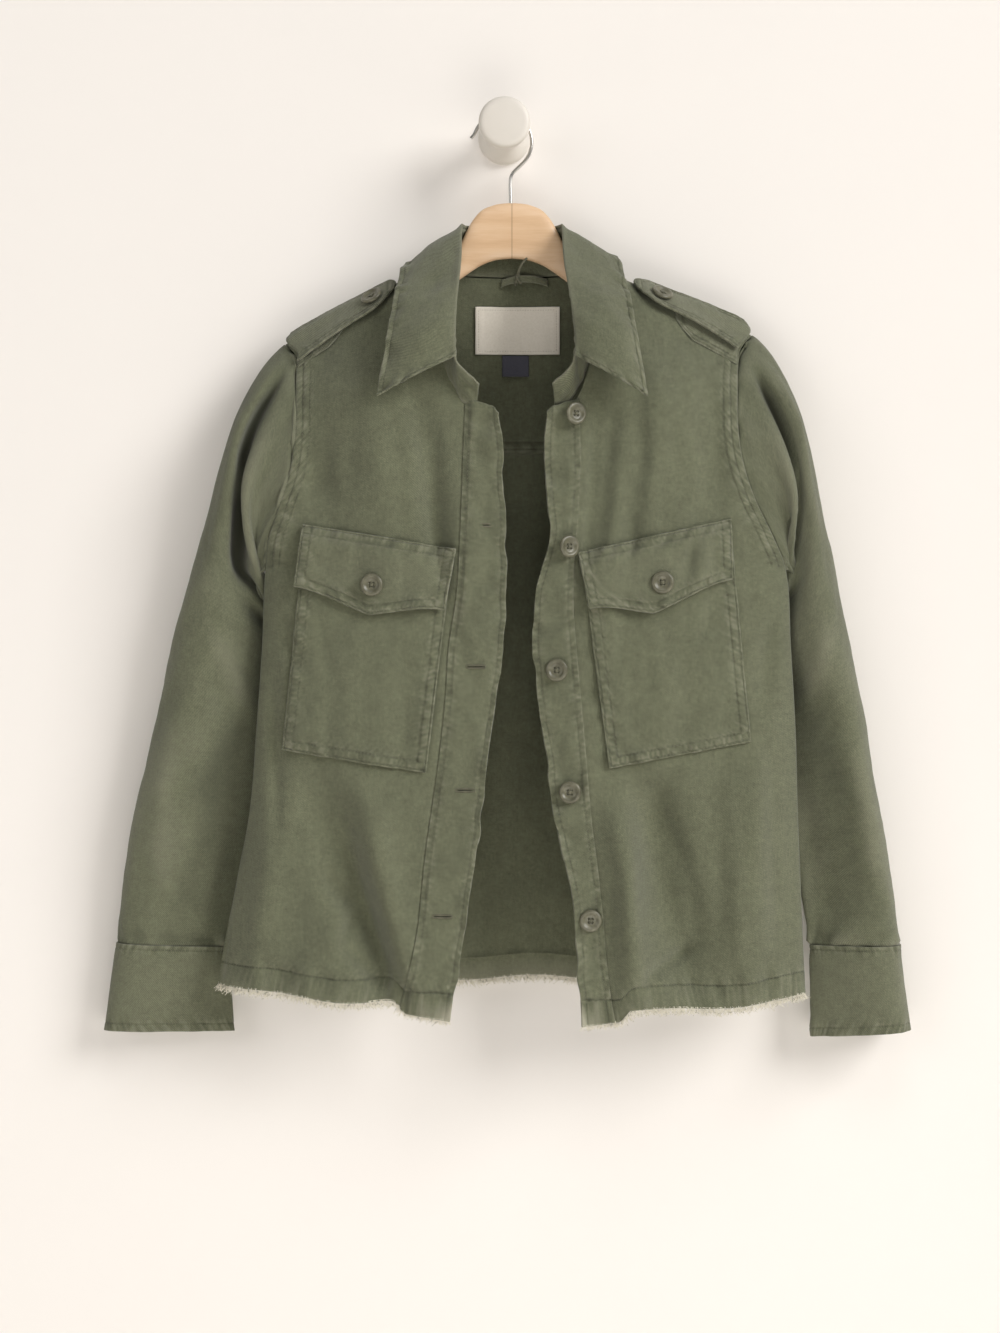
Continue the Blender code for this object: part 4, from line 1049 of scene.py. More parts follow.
def make_sleeve(side):
    """A sleeve: columns run round it, rows from the armhole to the cuff."""
    seed = 71 if side == "left" else 81
    turn = np.linspace(0, 1, 117)[None, :]
    v = np.concatenate([[0.0, 1.5, 3.0, 5.0, 7.5], np.linspace(10, SLEEVE, 150)])[:, None] / SLEEVE
    along = v * SLEEVE
    to_cuff = SLEEVE - along
    angle = 2 * math.pi * turn
    degrees = 360 * (turn % 1.0)
    ring = [column[..., None] for column in sleeve_ring[side](v[:, 0])]
    girth = 2.2 * np.hypot(ring[0] - ring[2], ring[1] - ring[3])
    around = degrees / 360 * girth
    fold = sleeve_folds(SLEEVE_FOLDS, side, v, degrees, girth) * ease(v / 0.1) * ease((1 - v) / 0.06)
    free = ring_points(side, ring, angle, fold)
    points = mix(armhole_points(side, angle) + 0 * v[..., None], free, ease(v / ARMHOLE_BLEND)[..., None])
    normals = outward(points)
    x = np.cos(angle) * girth / 6.3
    y = np.sin(angle) * girth / 6.3
    relief = 1.6 * noise(x / 30 + along / 120, y / 30 + along / 95, seed)
    relief += 0.9 * noise(x / 14, y / 14 + along / 34, seed + 1)
    relief += 0.42 * noise(x / 8 + along / 14, y / 8, seed + 2)
    relief += 0.14 * noise(x / 4, y / 4 + along / 5, seed + 3)
    relief += sleeve_folds(SLEEVE_CREASES, side, v, degrees, girth, 0.5)
    relief *= ease(along / 26) * ease(to_cuff / 14)
    wrap = ease(np.minimum(degrees, 360 - degrees) / 25)
    relief += pucker(around, along, seed + 4, pitch=9, reach=14, height=1.8) * wrap * ease(along / 4)
    relief += pucker(around, to_cuff, seed + 5, pitch=10, reach=18, height=2.2) * wrap * ease(to_cuff / 4)
    relief -= 1.3 * (1 - ease(along / 6))
    points = points + normals * relief[..., None]
    elbow = ease((v - 0.45) / 0.2)
    inner_side = bell(degrees - 124, 24) * ease((v - 0.28) / 0.10) * ease((1 - v) / 0.10)
    points[..., 1] += mix(15.0, 7.0, elbow) * inner_side
    points[..., 0] -= elbow * (1 - 0.5 * ease((v - 0.85) / 0.15)) * drawn_in(side, degrees)
    inward = SIDES[side] * np.array([-1.0, 0, 0]) * (UNDER_SEAM + 0.6)
    points = points + inward * (1 - ease(along / 5))[..., None]
    tucked = (1 - ease(to_cuff / 3.2))[..., None]
    points = points - tucked * (1.1 * normals + np.array([0, 0, 2.0]))
    points[:, -1] = points[:, 0]
    # 0.10 * relief is painted light and shade: paler on the sleeve's swells, darker in its creases
    wear_and_shade = 0.1 * bell(along - 2, 3) + 0.3 * np.exp(-to_cuff / 3) + 0.10 * relief
    cloth(f"sleeve_{side}", points, (around + 0 * v, along + 0 * turn), wear_and_shade, tube=True)


def make_cuff(side):
    """A cuff: columns run round it, rows from its seam to its edge."""
    seed = 91 if side == "left" else 95
    turn = np.linspace(0, 1, 121)[None, :]
    angle = 2 * math.pi * turn
    along = stops(CUFF, 3.2, around_lines(CUFF_SEAM_LINES), around_lines(CUFF_EDGE_LINES))[:, None]
    to_edge = CUFF - along
    v = along / CUFF
    ring = [mix(a, b, v) for a, b in zip(sleeve_ring[side](1.0), CUFF_EDGES[side])]
    points = ring_points(side, ring, angle)
    points[..., 2] -= 2 * SEAM * (1 - v)
    points[..., 0] -= 0.5 * (1 - v) * drawn_in(side, 360 * turn)
    normals = outward(points)
    around = turn * 210
    x = np.cos(angle) * 30
    y = np.sin(angle) * 30
    wrap = ease(np.minimum(turn, 1 - turn) / 0.07)
    relief = 0.9 * noise(x / 26, y / 26 + along / 30, seed)
    relief += 0.3 * noise(x / 10 + along / 12, y / 10, seed + 1)
    relief += pucker(around, along - CUFF_SEAM_LINES[0], seed + 2, pitch=8, height=0.8) * wrap
    relief += pucker(around, to_edge - CUFF_EDGE_LINES[0], seed + 3, pitch=8, height=0.8) * wrap
    relief += 0.45 - grooves(along, CUFF_SEAM_LINES, 0.45, 0.7)
    relief -= grooves(to_edge, CUFF_EDGE_LINES, 0.45, 0.7)
    points = points + normals * relief[..., None]
    points[:, -1] = points[:, 0]
    wear_and_shade = wear_and_dent_shade(to_edge, CUFF_EDGE_LINES, around, seed + 4) + wear_and_dent_shade(along, CUFF_SEAM_LINES, around, seed + 5)
    cloth(f"cuff_{side}", points, (around + 0 * v, along + 0 * turn), wear_and_shade + 0.08, DOUBLE, tube=True)
    rows = (line_columns(CUFF_SEAM_LINES)[0], -1 - line_columns(CUFF_EDGE_LINES)[0])
    lay_stitches(f"cuff_{side}", [(row, slice(None)) for row in rows], normals=normals)


def collar_lines(u):
    """The neckline, the top of the stand and the leaf edge at u, 0 right front to 1 left."""
    half = 1 - abs(2 * u - 1)
    sign = np.where(u < 0.5, -1.0, 1.0)
    row = collar_line(half)
    opened = np.where(u > 0.5, LEFT_SPREAD * (1 - ease(half / 0.6)), 0)
    neck_across = sign * (row[0] + opened)
    depth = np.where(half > 0.66, back_plain(neck_across, row[1]), front_plain(neck_across, row[1]))
    neck = at(neck_across, depth, row[1])
    top = at(sign * (row[2] + opened), row[3], row[4])
    edge = at(sign * row[5], row[6], row[7])
    return neck, top, edge, row[8]


def unit(vectors):
    return vectors / np.maximum(np.linalg.norm(vectors, axis=-1, keepdims=True), 1e-9)


def run_length(points):
    """The length of a line of points up to each of them."""
    steps = np.linalg.norm(np.diff(points, axis=0), axis=1)
    return np.concatenate([[0.0], np.cumsum(steps)])


def make_stand():
    """The collar's stand: columns run round the neck, rows from the neckline up."""
    u = np.linspace(0, 1, 190)
    neck, top, _, _ = collar_lines(u)
    v = np.linspace(0, 1, 14)[:, None, None]
    under = 7.0 * ease((0.16 - np.minimum(u, 1 - u)) / 0.06)  # its front ends run down behind the fronts
    points = mix(neck + unit(top - neck) * (0.6 - under)[:, None], top, v)
    facing = facing_of(points)
    facing *= np.sign((facing[:, :, 0] * (points[:, :, 0] - MIDDLE)).sum() + 1e-9)
    along = run_length(neck)[None, :]
    up = v[..., 0] * STAND
    bend = 0.7 * noise(along / 22, up / 18, 101) + 0.35 * noise(along / 9, up / 9, 102)
    bend += pucker(along, up - 2, 103, height=0.6) + pucker(along, STAND - up, 104, height=0.6)
    near = np.minimum(along, along[:, -1:] - along)
    crush = 2.2 * noise(near / 7, up / 6, 105) + 1.1 * noise(near / 3.4, up / 3.2, 106)
    points = points + facing * (bend + crush * bell(near, 24))[..., None]
    wear_and_shade = 0.4 * np.exp(-up / 2.5) + 0.5 * np.exp(-(STAND - up) / 2.5) + 0 * along
    cloth("collar_stand", points, (along + 0 * up, up + 0 * along), wear_and_shade, LEAF)


def make_collar():
    """The collar's leaf: columns run round the neck, rows from the roll down to its edge."""
    lines = around_lines(COLLAR_LINES)
    u = stops(COLLAR_LENGTH, 3.0, lines, lines) / COLLAR_LENGTH
    u = mix(LEAF_START / 2, 1 - LEAF_START / 2, u)
    neck, top, edge, puff = collar_lines(u)
    step = 0.01
    before = collar_lines(np.maximum(u - step, LEAF_START / 2))[1]
    after = collar_lines(np.minimum(u + step, 1 - LEAF_START / 2))[1]
    away = unit(np.cross(after - before, edge - top))
    start = top + unit(top - neck) * ROLL_RISE + away * ROLL_OUT
    widths = np.linalg.norm(edge - start, axis=1)
    v = spread(widths, 3.0, (), lines).T[..., None]
    wave = LEAF_WAVE * np.sin(math.pi * v) * (np.sin(22 * u) * np.minimum(puff / 4, 1))[:, None]
    points = mix(start, edge, v) + away * (puff[:, None] * (1 - (2 * v - 1) ** 2) + wave)
    along = (u - u[0]) / (u[-1] - u[0]) * COLLAR_LENGTH
    down = v[..., 0] * widths
    from_end = np.minimum(along, COLLAR_LENGTH - along)[None, :]
    from_edge = (1 - v[..., 0]) * widths
    edges = np.minimum(from_end, from_edge)
    relief = 2.4 * noise(along / 34, down / 30, 111) + 1.1 * noise(along / 15 + down / 30, down / 15, 112)
    relief *= ease(from_edge / 5) * ease(down / 7)
    relief += 0.35 * noise(along / 7, down / 7, 113)
    relief += pucker(along, from_edge - 4.0, 114, height=1.5)
    relief += pucker(down, from_end - 4.0, 115, height=1.5)
    relief += 0.5 * ease((6 - edges) / 2) - grooves(edges, COLLAR_LINES, 0.7, 0.8)
    relief -= 3.4 * bell(along - 92, 16) * bell(down - 22, 13)  # a dent in the right leaf
    points = points + away * relief[..., None]
    wear_and_shade = wear_and_dent_shade(edges, COLLAR_LINES, along + down, 116) + 0.35 * np.exp(-down / 3)
    cloth("collar", points, (along + 0 * down, down), wear_and_shade, LEAF)
    index = line_columns(COLLAR_LINES)[0]
    down = slice(1, -index)
    paths = [(down, index), (-1 - index, slice(index, -index)), (down, -1 - index)]
    lay_stitches("collar", paths, normals=away + 0 * points)


def shoulder_walk(across, distance):
    """Points of the shoulder at a distance in front of its line, and their outward normals."""
    across, distance = np.broadcast_arrays(np.asarray(across, float), np.asarray(distance, float))
    height = ridge_height(across)[..., None]
    drops = 60 * (np.arange(97) / 96) ** 2
    wide = across[..., None] + 0 * drops
    ahead = (distance > 0)[..., None]
    lines = np.where(ahead, front_plain(wide, height - drops), back_plain(wide, height - drops))
    forward = abs(np.diff(lines))
    down = np.diff(drops) + 0 * forward
    pace = np.hypot(forward, down)
    walked = np.concatenate([np.zeros((*pace.shape[:-1], 1)), np.cumsum(pace, axis=-1)], axis=-1)
    i = np.clip((walked[..., 1:] < abs(distance)[..., None]).sum(axis=-1), 0, 95)[..., None]

    def here(values, index):
        return np.take_along_axis(values, index, axis=-1)[..., 0]

    share = np.minimum((abs(distance) - here(walked, i)) / here(pace, i), 1.0)
    depth = mix(here(lines, i), here(lines, i + 1), share)
    drop = mix(drops[i[..., 0]], drops[i[..., 0] + 1], share)
    facing = np.where(distance > 0, -1.0, 1.0)
    normal = np.stack([0 * depth, facing * here(down, i), here(forward, i)], axis=-1)
    return at(across, depth, height[..., 0] - drop), unit(normal)


def strap_width(u, length, half):
    """Half the width of a strap: full for most of its length, round at its point."""
    return half * np.maximum(0.12, np.sqrt(np.minimum((1 - u) * length / (0.9 * half), 1.0)))


def strap_points(side, sizes, lift, u, v):
    """A strap along the shoulder: u runs from the sleeve to its point, v from back to front."""
    start, point, half, shift, stiff = sizes
    sign = SIDES[side]
    walk = (2 * v - 1) * strap_width(u, start - point, half)
    height = shoulder_walk(sign * mix(start, point, u), shift + walk)[0][..., 2]
    across = sign * mix(np.minimum(start, outline[side](height)[0] - STRAP_END), point, u)
    base, normal = shoulder_walk(across, shift + walk)
    middle, up = shoulder_walk(across, shift + 0 * walk)
    slope = np.stack([0 * walk, -up[..., 2], up[..., 1]], axis=-1)
    flat = middle + slope * walk[..., None] + up * lift
    return mix(base + normal * lift, flat, stiff), mix(normal, up, stiff)


def make_strap(side, name, sizes, lift, wall, seed):
    """A strap, or the patch under it, with lines of stitches round it."""
    start, point, half, _, _ = sizes
    length = start - point
    ends = around_lines(STRAP_LINES)
    u = (stops(length, 2.6, (), ends) / length)[None, :]
    v = (stops(2 * half, 2.4, ends, ends) / (2 * half))[:, None]
    points, normals = strap_points(side, sizes, lift, u, v)
    width = strap_width(u, length, half)
    edges = np.minimum((1 - abs(2 * v - 1)) * width, (1 - u) * length * 0.9)
    along = u * length + 0 * v
    relief = 0.5 * noise(along / 30, v * half / 12, seed) + 0.25 * noise(along / 10, v * 3, seed + 1)
    relief += pucker(along, edges - STRAP_LINES[-1], seed + 2, height=0.6)
    relief += 0.3 - grooves(edges, STRAP_LINES, 0.4, 0.6)
    points = points + normals * (relief * ease(u * 9) * 0.9)[..., None]
    wear_and_shade = wear_and_dent_shade(edges, STRAP_LINES, along, seed + 3) + 0.12
    cloth(f"{name}_{side}", points, (along, (v - 0.5) * 2 * half + 0 * u), wear_and_shade, wall)
    paths = []
    for line in STRAP_LINES:
        low = np.minimum(line / width[0] / 2, 0.5)
        inner = slice(2, int((u[0] < 1 - line / length / 0.9).sum()))
        near, _ = strap_points(side, sizes, lift, u[:, inner], low[None, inner])
        far, _ = strap_points(side, sizes, lift, u[:, inner], 1 - low[None, inner])
        loop = np.concatenate([near[0], far[0][::-1]])
        paths.append((loop, np.repeat(normals[len(v) // 2, inner], 2, axis=0)))
    lay_stitches(f"{name}_{side}", paths)


def lying(across, height, reach=3.0):
    """The foremost depth of a front's cloth near each point."""
    steps = (-reach, 0, reach)
    return np.min([front_skin(across + dx, height + dz) for dx in steps for dz in steps], axis=0)


def patch_grid(corners, u, v):
    """Places between a patch's corners: top inner, top outer, bottom outer and bottom inner."""
    (ax, az), (bx, bz), (cx, cz), (dx, dz) = corners
    across = mix(mix(ax, bx, u), mix(dx, cx, u), v)
    return across, mix(mix(az, bz, u), mix(dz, cz, u), v)


def patch_creases(table, side, across, height):
    return sum(line_fold(SIDES[side] * across, height, fold) for fold in table[side])


def side_puckers(height, u, wide, seed, reach, rise):
    inner = pucker(height, u * wide - 4, seed + 1, reach=reach, height=rise)
    return inner + pucker(height, (1 - u) * wide - 4, seed + 2, reach=reach, height=rise)


def border(lines, all_round=False):
    """Rows and columns of stitch lines down both sides and along the lower edge, or all round."""
    paths = []
    for index in line_columns(lines):
        down = slice(index if all_round else 1, -1 - index)
        along = slice(index, -1 - index)
        paths += [(down, index), (-1 - index, along), (down, -1 - index)]
        if all_round:
            paths.append((index, along))
    return paths


def make_pocket(side):
    """A patch pocket: columns run from its inner to its outer edge, rows down from its top."""
    seed = 121 if side == "left" else 131
    corners = POCKETS[side]
    lines = around_lines(POCKET_LINES)
    wide = math.dist(corners[0], corners[1])
    high = math.dist(corners[1], corners[2])
    u = (stops(wide, 2.3, lines, lines) / wide)[None, :]
    v = (stops(high, 2.3, (), lines) / high)[:, None]
    across, height = patch_grid(corners, u, v)
    belly = POCKET_BELLY * np.sin(math.pi * u) * np.sin(math.pi * v)
    edges = np.minimum(np.minimum(u, 1 - u) * wide, (1 - v) * high)
    relief = 0.7 * rumple(across, height, seed) * ease(edges / 22) + 0.35 * ease(edges / 4)
    relief += side_puckers(height, u, wide, seed, 8, 1.4)
    relief += pucker(across, (1 - v) * high - 4, seed + 3, reach=8, height=1.4)
    relief += welt(edges, POCKET_LINES, rise=0.5) + patch_creases(POCKET_CREASES, side, across, height)
    relief = np.maximum(relief, -0.2 - 0.06 * edges)  # it never sinks into the front
    depth = lying(across, height) - POCKET_OFF - LAID - belly - relief
    wear_and_shade = wear_and_dent_shade(edges, POCKET_LINES, across + height, seed + 4)
    cloth(f"pocket_{side}", at(across, depth, height), (across, height), wear_and_shade)
    lay_stitches(f"pocket_{side}", border(POCKET_LINES))


def make_flap(side):
    """A pocket flap: columns run from its inner to its outer edge, rows down from its seam."""
    seed = 141 if side == "left" else 151
    *corners, drop, point = FLAPS[side]
    lines = around_lines(POCKET_LINES)
    wide = math.dist(corners[0], corners[1])
    high = math.dist(corners[1], corners[2]) + 4
    u = (stops(wide, 2.1, lines, lines) / wide)[None, :]
    v = (stops(high, 2.1, lines, lines) / high)[:, None]
    across, height = patch_grid(corners, u, v)
    low = drop * ease(np.where(u < point, u / point, (1 - u) / (1 - point)) * 0.75) / ease(0.75)
    height = height - low * v
    from_top = v * (high + low)
    from_low = (1 - v) * (high + low)
    edges = np.minimum(np.minimum(u, 1 - u) * wide, from_low)
    relief = 0.6 * rumple(across, height, seed) * ease(edges / 12)
    relief += side_puckers(height, u, wide, seed, 7, 1.1)
    relief += pucker(across, from_low - 4, seed + 3, reach=8, height=1.7)
    relief += pucker(across, from_top - 4, seed + 4, reach=8, height=1.4)
    relief -= grooves(edges, POCKET_LINES, 0.42, 0.7) + grooves(from_top, POCKET_LINES, 0.42, 0.7)
    relief += patch_creases(FLAP_CREASES, side, across, height)
    relief = np.maximum(relief, -0.3 - 0.05 * edges)  # it never sinks into the pocket
    curl = 1.6 * noise(u * 5, 0 * u, seed + 5) * v**3
    off = mix(FLAP_SEAT, FLAP_OFF, ease(v / 0.25)) + FLAP_LIFT * v * v
    wear_and_shade = wear_and_dent_shade(edges, POCKET_LINES, across + height, seed + 6)
    wear_and_shade += 0.7 * wear_and_dent_shade(from_top, POCKET_LINES, across, seed + 7) + 0.06
    depth = lying(across, height) - off - relief - curl
    cloth(f"flap_{side}", at(across, depth, height), (across, height), wear_and_shade, DOUBLE)
    lay_stitches(f"flap_{side}", border(POCKET_LINES, all_round=True))


def tag_points(middle, size, u, v):
    """A tag laid on the inside of the yoke."""
    across = middle[0] + (u - 0.5) * size[0] + 0 * v
    height = middle[1] - (v - 0.5) * size[1] + 0 * u
    steps = (-2, 0, 2)
    near = [back_skin(across + dx, height + dz) for dx in steps for dz in steps]
    return at(across, np.min(near, axis=0) - LABEL_OFF, height)


def make_label():
    """The bare neck label, folded in at its ends, and the bare tab sewn under it."""
    u = np.linspace(0, 1, 50)[None, :]
    v = np.linspace(0, 1, 30)[:, None]
    points = tag_points(LABEL_MIDDLE, LABEL, u, v)
    from_end = np.minimum(u, 1 - u) * LABEL[0]
    edges = np.minimum(from_end, np.minimum(v, 1 - v) * LABEL[1])
    bow = 0.35 * noise(u * 4, v * 3, 161) * ease(edges / 5) - grooves(edges, (2.2,), 0.35, 0.7)
    points[..., 1] -= bow + 0.35 * ease((7 - from_end) / 0.8)
    cloth("label", points, (u * LABEL[0] + 0 * v, v * LABEL[1] + 0 * u), 0.0, LABEL_THICK, "label")
    inset = [(slice(2, -2), 2), (-3, slice(2, -2)), (slice(2, -2), -3), (2, slice(2, -2))]
    lay_stitches("label", inset, finish="pale_thread", pitch=2.2, long=1.5)
    u = np.linspace(0, 1, 24)[None, :]
    v = np.linspace(0, 1, 20)[:, None]
    points = tag_points((TAB_TOP[0], TAB_TOP[1] - TAB[1] / 2), TAB, u, v)
    points[..., 1] -= 1.2 * v**2
    cloth("size_tab", points, (points[..., 0], points[..., 2]), 0.0, LABEL_THICK, "tab")


def make_loop():
    """The hanging loop inside the neck, with its knot."""
    u = np.linspace(0, 1, 60)[None, :]
    v = np.linspace(0, 1, 8)[:, None]
    across = mix(LOOP_ROOTS[0], LOOP_ROOTS[1], u) + 0 * v
    rise = np.sin(math.pi * u) ** 0.7
    root = back_top(across) - LOOP_DOWN
    seat = CLOTH / 2 + LAID + LOOP_THICK / 2 + 0.8
    height = root + LOOP_RISE * rise + (v - 0.5) * LOOP_WIDTH
    rolled = 0.6 * np.cos((v - 0.5) * math.pi) + 0.3 * noise(u * 9, v * 2, 171)
    points = at(across, back_skin(across, root) - seat - LOOP_BOW * rise - rolled, height)
    wear_and_shade = 0.5 * bell(np.minimum(v, 1 - v) * LOOP_WIDTH, 0.8) + 0.1
    cloth("hanger_loop", points, (across, height), wear_and_shade, LOOP_THICK)
    tied = points[:, 20].mean(axis=0)
    turn = np.linspace(0, 2 * math.pi, 17)[:, None]
    t = np.linspace(0, 1, 9)[:, None]
    wrapped = np.hstack([1.6 * np.sin(turn), -2.4 * np.cos(turn), 4.2 * np.sin(turn + 0.3)])
    crossed = np.hstack([1.2 - 2.0 * np.sin(turn), -2.6 * np.cos(turn) - 0.8, 3.4 * np.sin(turn - 0.5)])
    end = (0.5, -1.5, 2.0) + t * (8.0, -9.0, 15.0) + np.sin(math.pi * t) * (-2.0, -2.0, 0)
    knot = [tied + wrapped, tied + crossed, tied + end]
    sewn_on("hanger_loop", "hanger_loop_knot", knot, 1.0, "thread", 3)


def normals_of(name):
    """Unit normals of a cloth piece's points that face the photograph's side of it."""
    facing = facing_of(sheets[name][0])
    return facing * np.sign(-facing[..., 1].mean() + 1e-9)


def threads(name, runs, radius, finish, sides=0):
    """Thin round threads, one along each line of points, as one piece."""
    curve = bpy.data.curves.new(name, "CURVE")
    curve.dimensions = "3D"
    curve.bevel_depth = radius * MM
    curve.bevel_resolution = sides
    curve.use_fill_caps = True
    for run in runs:
        spline = curve.splines.new("POLY")
        spline.points.add(len(run) - 1)
        flat = np.concatenate([np.asarray(run) * MM, np.ones((len(run), 1))], axis=1)
        spline.points.foreach_set("co", flat.ravel())
    drawn = link(name, curve)
    mesh = as_evaluated(drawn)
    bpy.data.objects.remove(drawn)
    mesh.materials.clear()
    mesh.shade_smooth()
    piece = put_in_scene(mesh, name, finish)
    return piece


def sewn_on(cloth_name, name, runs, radius, finish, sides=0):
    """Threads that move with the cloth piece that they are sewn to."""
    added.setdefault(cloth_name, []).append(threads(name, runs, radius, finish, sides))


def points_at(line, walked, places):
    """The points of a line at distances along it."""
    return np.stack([np.interp(places, walked, line[:, axis]) for axis in range(3)], axis=-1)


def stitch_runs(path, normals, lift, pitch, long):
    """Points of the stitches along a line: each rises a little out of the cloth."""
    walked = run_length(path)
    rise = lift + np.array([-0.30, 0.06, 0.06, -0.30])[:, None]
    runs = []
    for k in range(int(walked[-1] / pitch)):
        places = np.array([0.0, 0.3, 0.7, 1.0]) * long + k * pitch + 0.4
        runs.append(points_at(path, walked, places) + unit(points_at(normals, walked, places)) * rise)
    return runs


def lay_stitches(on, paths, normals=None, both=False, finish="thread", pitch=PITCH, long=STITCH):
    """Lines of stitches on a cloth piece, given by rows and columns of its grid or by points."""
    points, wall = sheets[on]
    facing = normals_of(on) if normals is None else unit(np.broadcast_to(normals, points.shape))
    runs = []
    for path in paths:
        if isinstance(path[0], np.ndarray):
            line, away = path[0], unit(path[1])
        else:
            line, away = points[path], facing[path]
        runs += stitch_runs(line, away, wall / 2, pitch, long)
        if both:
            runs += stitch_runs(line, -away, wall / 2, pitch, long)
    sewn_on(on, f"{on}_stitches", runs, THREAD, finish)


def fringe(on, seed, length=(3.0, 8.5), spacing=0.3):
    """The raw edge's loose threads: they hang from the cloth's last row, a few along it."""
    points, wall = sheets[on]
    line = points[-1]
    walked = run_length(line)
    random = np.random.default_rng(seed)
    t = np.linspace(0, 1, 4)[:, None]
    runs = []
    for k in range(int(walked[-1] / spacing)):
        start = points_at(line, walked, (k + random.uniform(0, 1)) * spacing)
        long = mix(*length, random.beta(1.3, 3.2))
        lean = random.normal(0, 0.45)
        out = random.normal(0, 0.22) - 0.05
        bend = random.normal(0, 0.35)
        start = start + np.array([0, random.uniform(-0.5, 0.5) * wall, 1.4])
        course = np.array([lean, out, -1.0]) * t + np.array([bend, 0.15 * bend, 0]) * t * t
        runs.append(start + course * (long + 1.4))
    for k in range(int(walked[-1] / 9)):
        places = random.uniform(0, walked[-1] - 14) + np.linspace(0, random.uniform(6, 14), 6)
        spots = points_at(line, walked, places)
        spots[:, 2] -= random.uniform(0.6, 3.2) * np.sin(np.linspace(0.25, math.pi - 0.25, 6)) + 0.3
        spots[:, 1] += random.uniform(-0.7, 0.7)
        runs.append(spots)
    sewn_on(on, f"{on}_fringe", runs, 0.2, "loose_thread")


def make_fringes():
    for side in SIDES:
        fringe(f"front_{side}", 200 + len(side))
        fringe(f"placket_{side}", 210 + len(side), (2.0, 6.0), 0.36)
    fringe("back", 220)


def on_slot(place, half, radius):
    """A point of a slot's outline and its outward direction, as parts across and up."""
    straight = 2 * half
    arc = math.pi * radius
    if place < straight:
        return (place - half, 0), (0, 1)
    if place < straight + arc:
        a = math.pi / 2 - (place - straight) / radius
        return (half, 0), (math.cos(a), math.sin(a))
    if place < 2 * straight + arc:
        return (half - (place - straight - arc), 0), (0, -1)
    a = -math.pi / 2 - (place - 2 * straight - arc) / radius
    return (-half, 0), (math.cos(a), math.sin(a))


def make_buttonholes():
    """Worked buttonholes across the right placket: close stitches round a cut, with a near-black thread
    along the slit as painted shadow.
    """
    half = 7.0  # of the straight part
    radius = 1.1  # of its ends, which the stitches turn round
    length = 4 * half + 2 * math.pi * radius
    points, wall = sheets["placket_right"]
    facing = normals_of("placket_right")
    stitched = []
    slit_shadows = []
    for across, height in BUTTONHOLES:
        away = (points[..., 0] - MIDDLE - across) ** 2 + (points[..., 2] - height) ** 2
        seat = np.unravel_index(np.argmin(away), points.shape[:2])
        centre, normal = points[seat], unit(facing[seat])
        side = unit(np.cross(normal, np.array([0, 0, 1.0])))
        up = unit(np.cross(side, normal))
        rise = normal * (wall / 2 + 0.3)
        for share in np.linspace(0, 1, 77)[:-1]:
            middle, way = [side * a + up * b for a, b in on_slot(share * length, half, radius)]
            arch = ((0.35, 0.7), (0.9, 1.25), (1.5, 1.2), (1.9, 0.7))
            stitched.append([centre + middle + way * out + rise * high for out, high in arch])
        ends = side * half * 0.92
        # a near-black thread along each slit is painted shadow in the gap of the cut
        slit_shadows.append([centre + ends * k + normal * (wall / 2 + 0.35) for k in np.linspace(-1, 1, 5)])
    sewn_on("placket_right", "buttonholes", stitched, 0.27, "thread")
    sewn_on("placket_right", "buttonhole_slit_shadows", slit_shadows, 0.24, "cut")


def turned(name, profile, steps, place):
    """A profile of radii and heights spun round Z and put in its place."""
    bm = bmesh.new()
    points = [bm.verts.new((radius, 0, height)) for radius, height in profile]
    edges = [bm.edges.new(pair) for pair in zip(points, points[1:])]
    bmesh.ops.spin(
        bm, geom=points + edges, axis=(0, 0, 1), cent=(0, 0, 0), angle=math.tau, steps=steps, use_merge=True
    )
    bmesh.ops.remove_doubles(bm, verts=bm.verts, dist=0.001)
    bmesh.ops.recalc_face_normals(bm, faces=bm.faces)
    bm.transform(place)
    return mesh_of(bm, name)


def button_place(node):
    """Where the part's button has its back face, with Z along the button's axis, in millimetres."""
    low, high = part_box(node)
    solid = bpy.data.objects[node]
    corners = np.array([solid.matrix_world @ vert.co for vert in solid.data.vertices]) / MM
    axis = Vector(np.linalg.svd(corners - corners.mean(axis=0), full_matrices=False)[2][2])
    if axis.y > 0:
        axis = -axis
    middle = Vector((np.array(low) + np.array(high)) / 2 / MM)
    turn = axis.to_track_quat("Z", "Y").to_matrix().to_4x4()
    return Matrix.Translation(middle - axis * BUTTON_THICK / 2) @ turn


def drill(piece, place):
    """Four holes through a button."""
    bm = bmesh.new()
    for x, y in ((1, 1), (-1, 1), (-1, -1), (1, -1)):
        bmesh.ops.create_cone(
            bm, cap_ends=True, segments=16, radius1=BUTTON_HOLE, radius2=BUTTON_HOLE, depth=8,
            matrix=Matrix.Translation((x * HOLE_OUT, y * HOLE_OUT, 2)),
        )
    bm.transform(place)
    cutter = link("holes", mesh_of(bm, "holes", smooth=False))
    cut = piece.modifiers.new("holes", "BOOLEAN")
    cut.object = cutter
    cut.solver = "EXACT"
    drilled = as_evaluated(piece)
    piece.modifiers.clear()
    piece.data = drilled
    bpy.data.objects.remove(cutter)


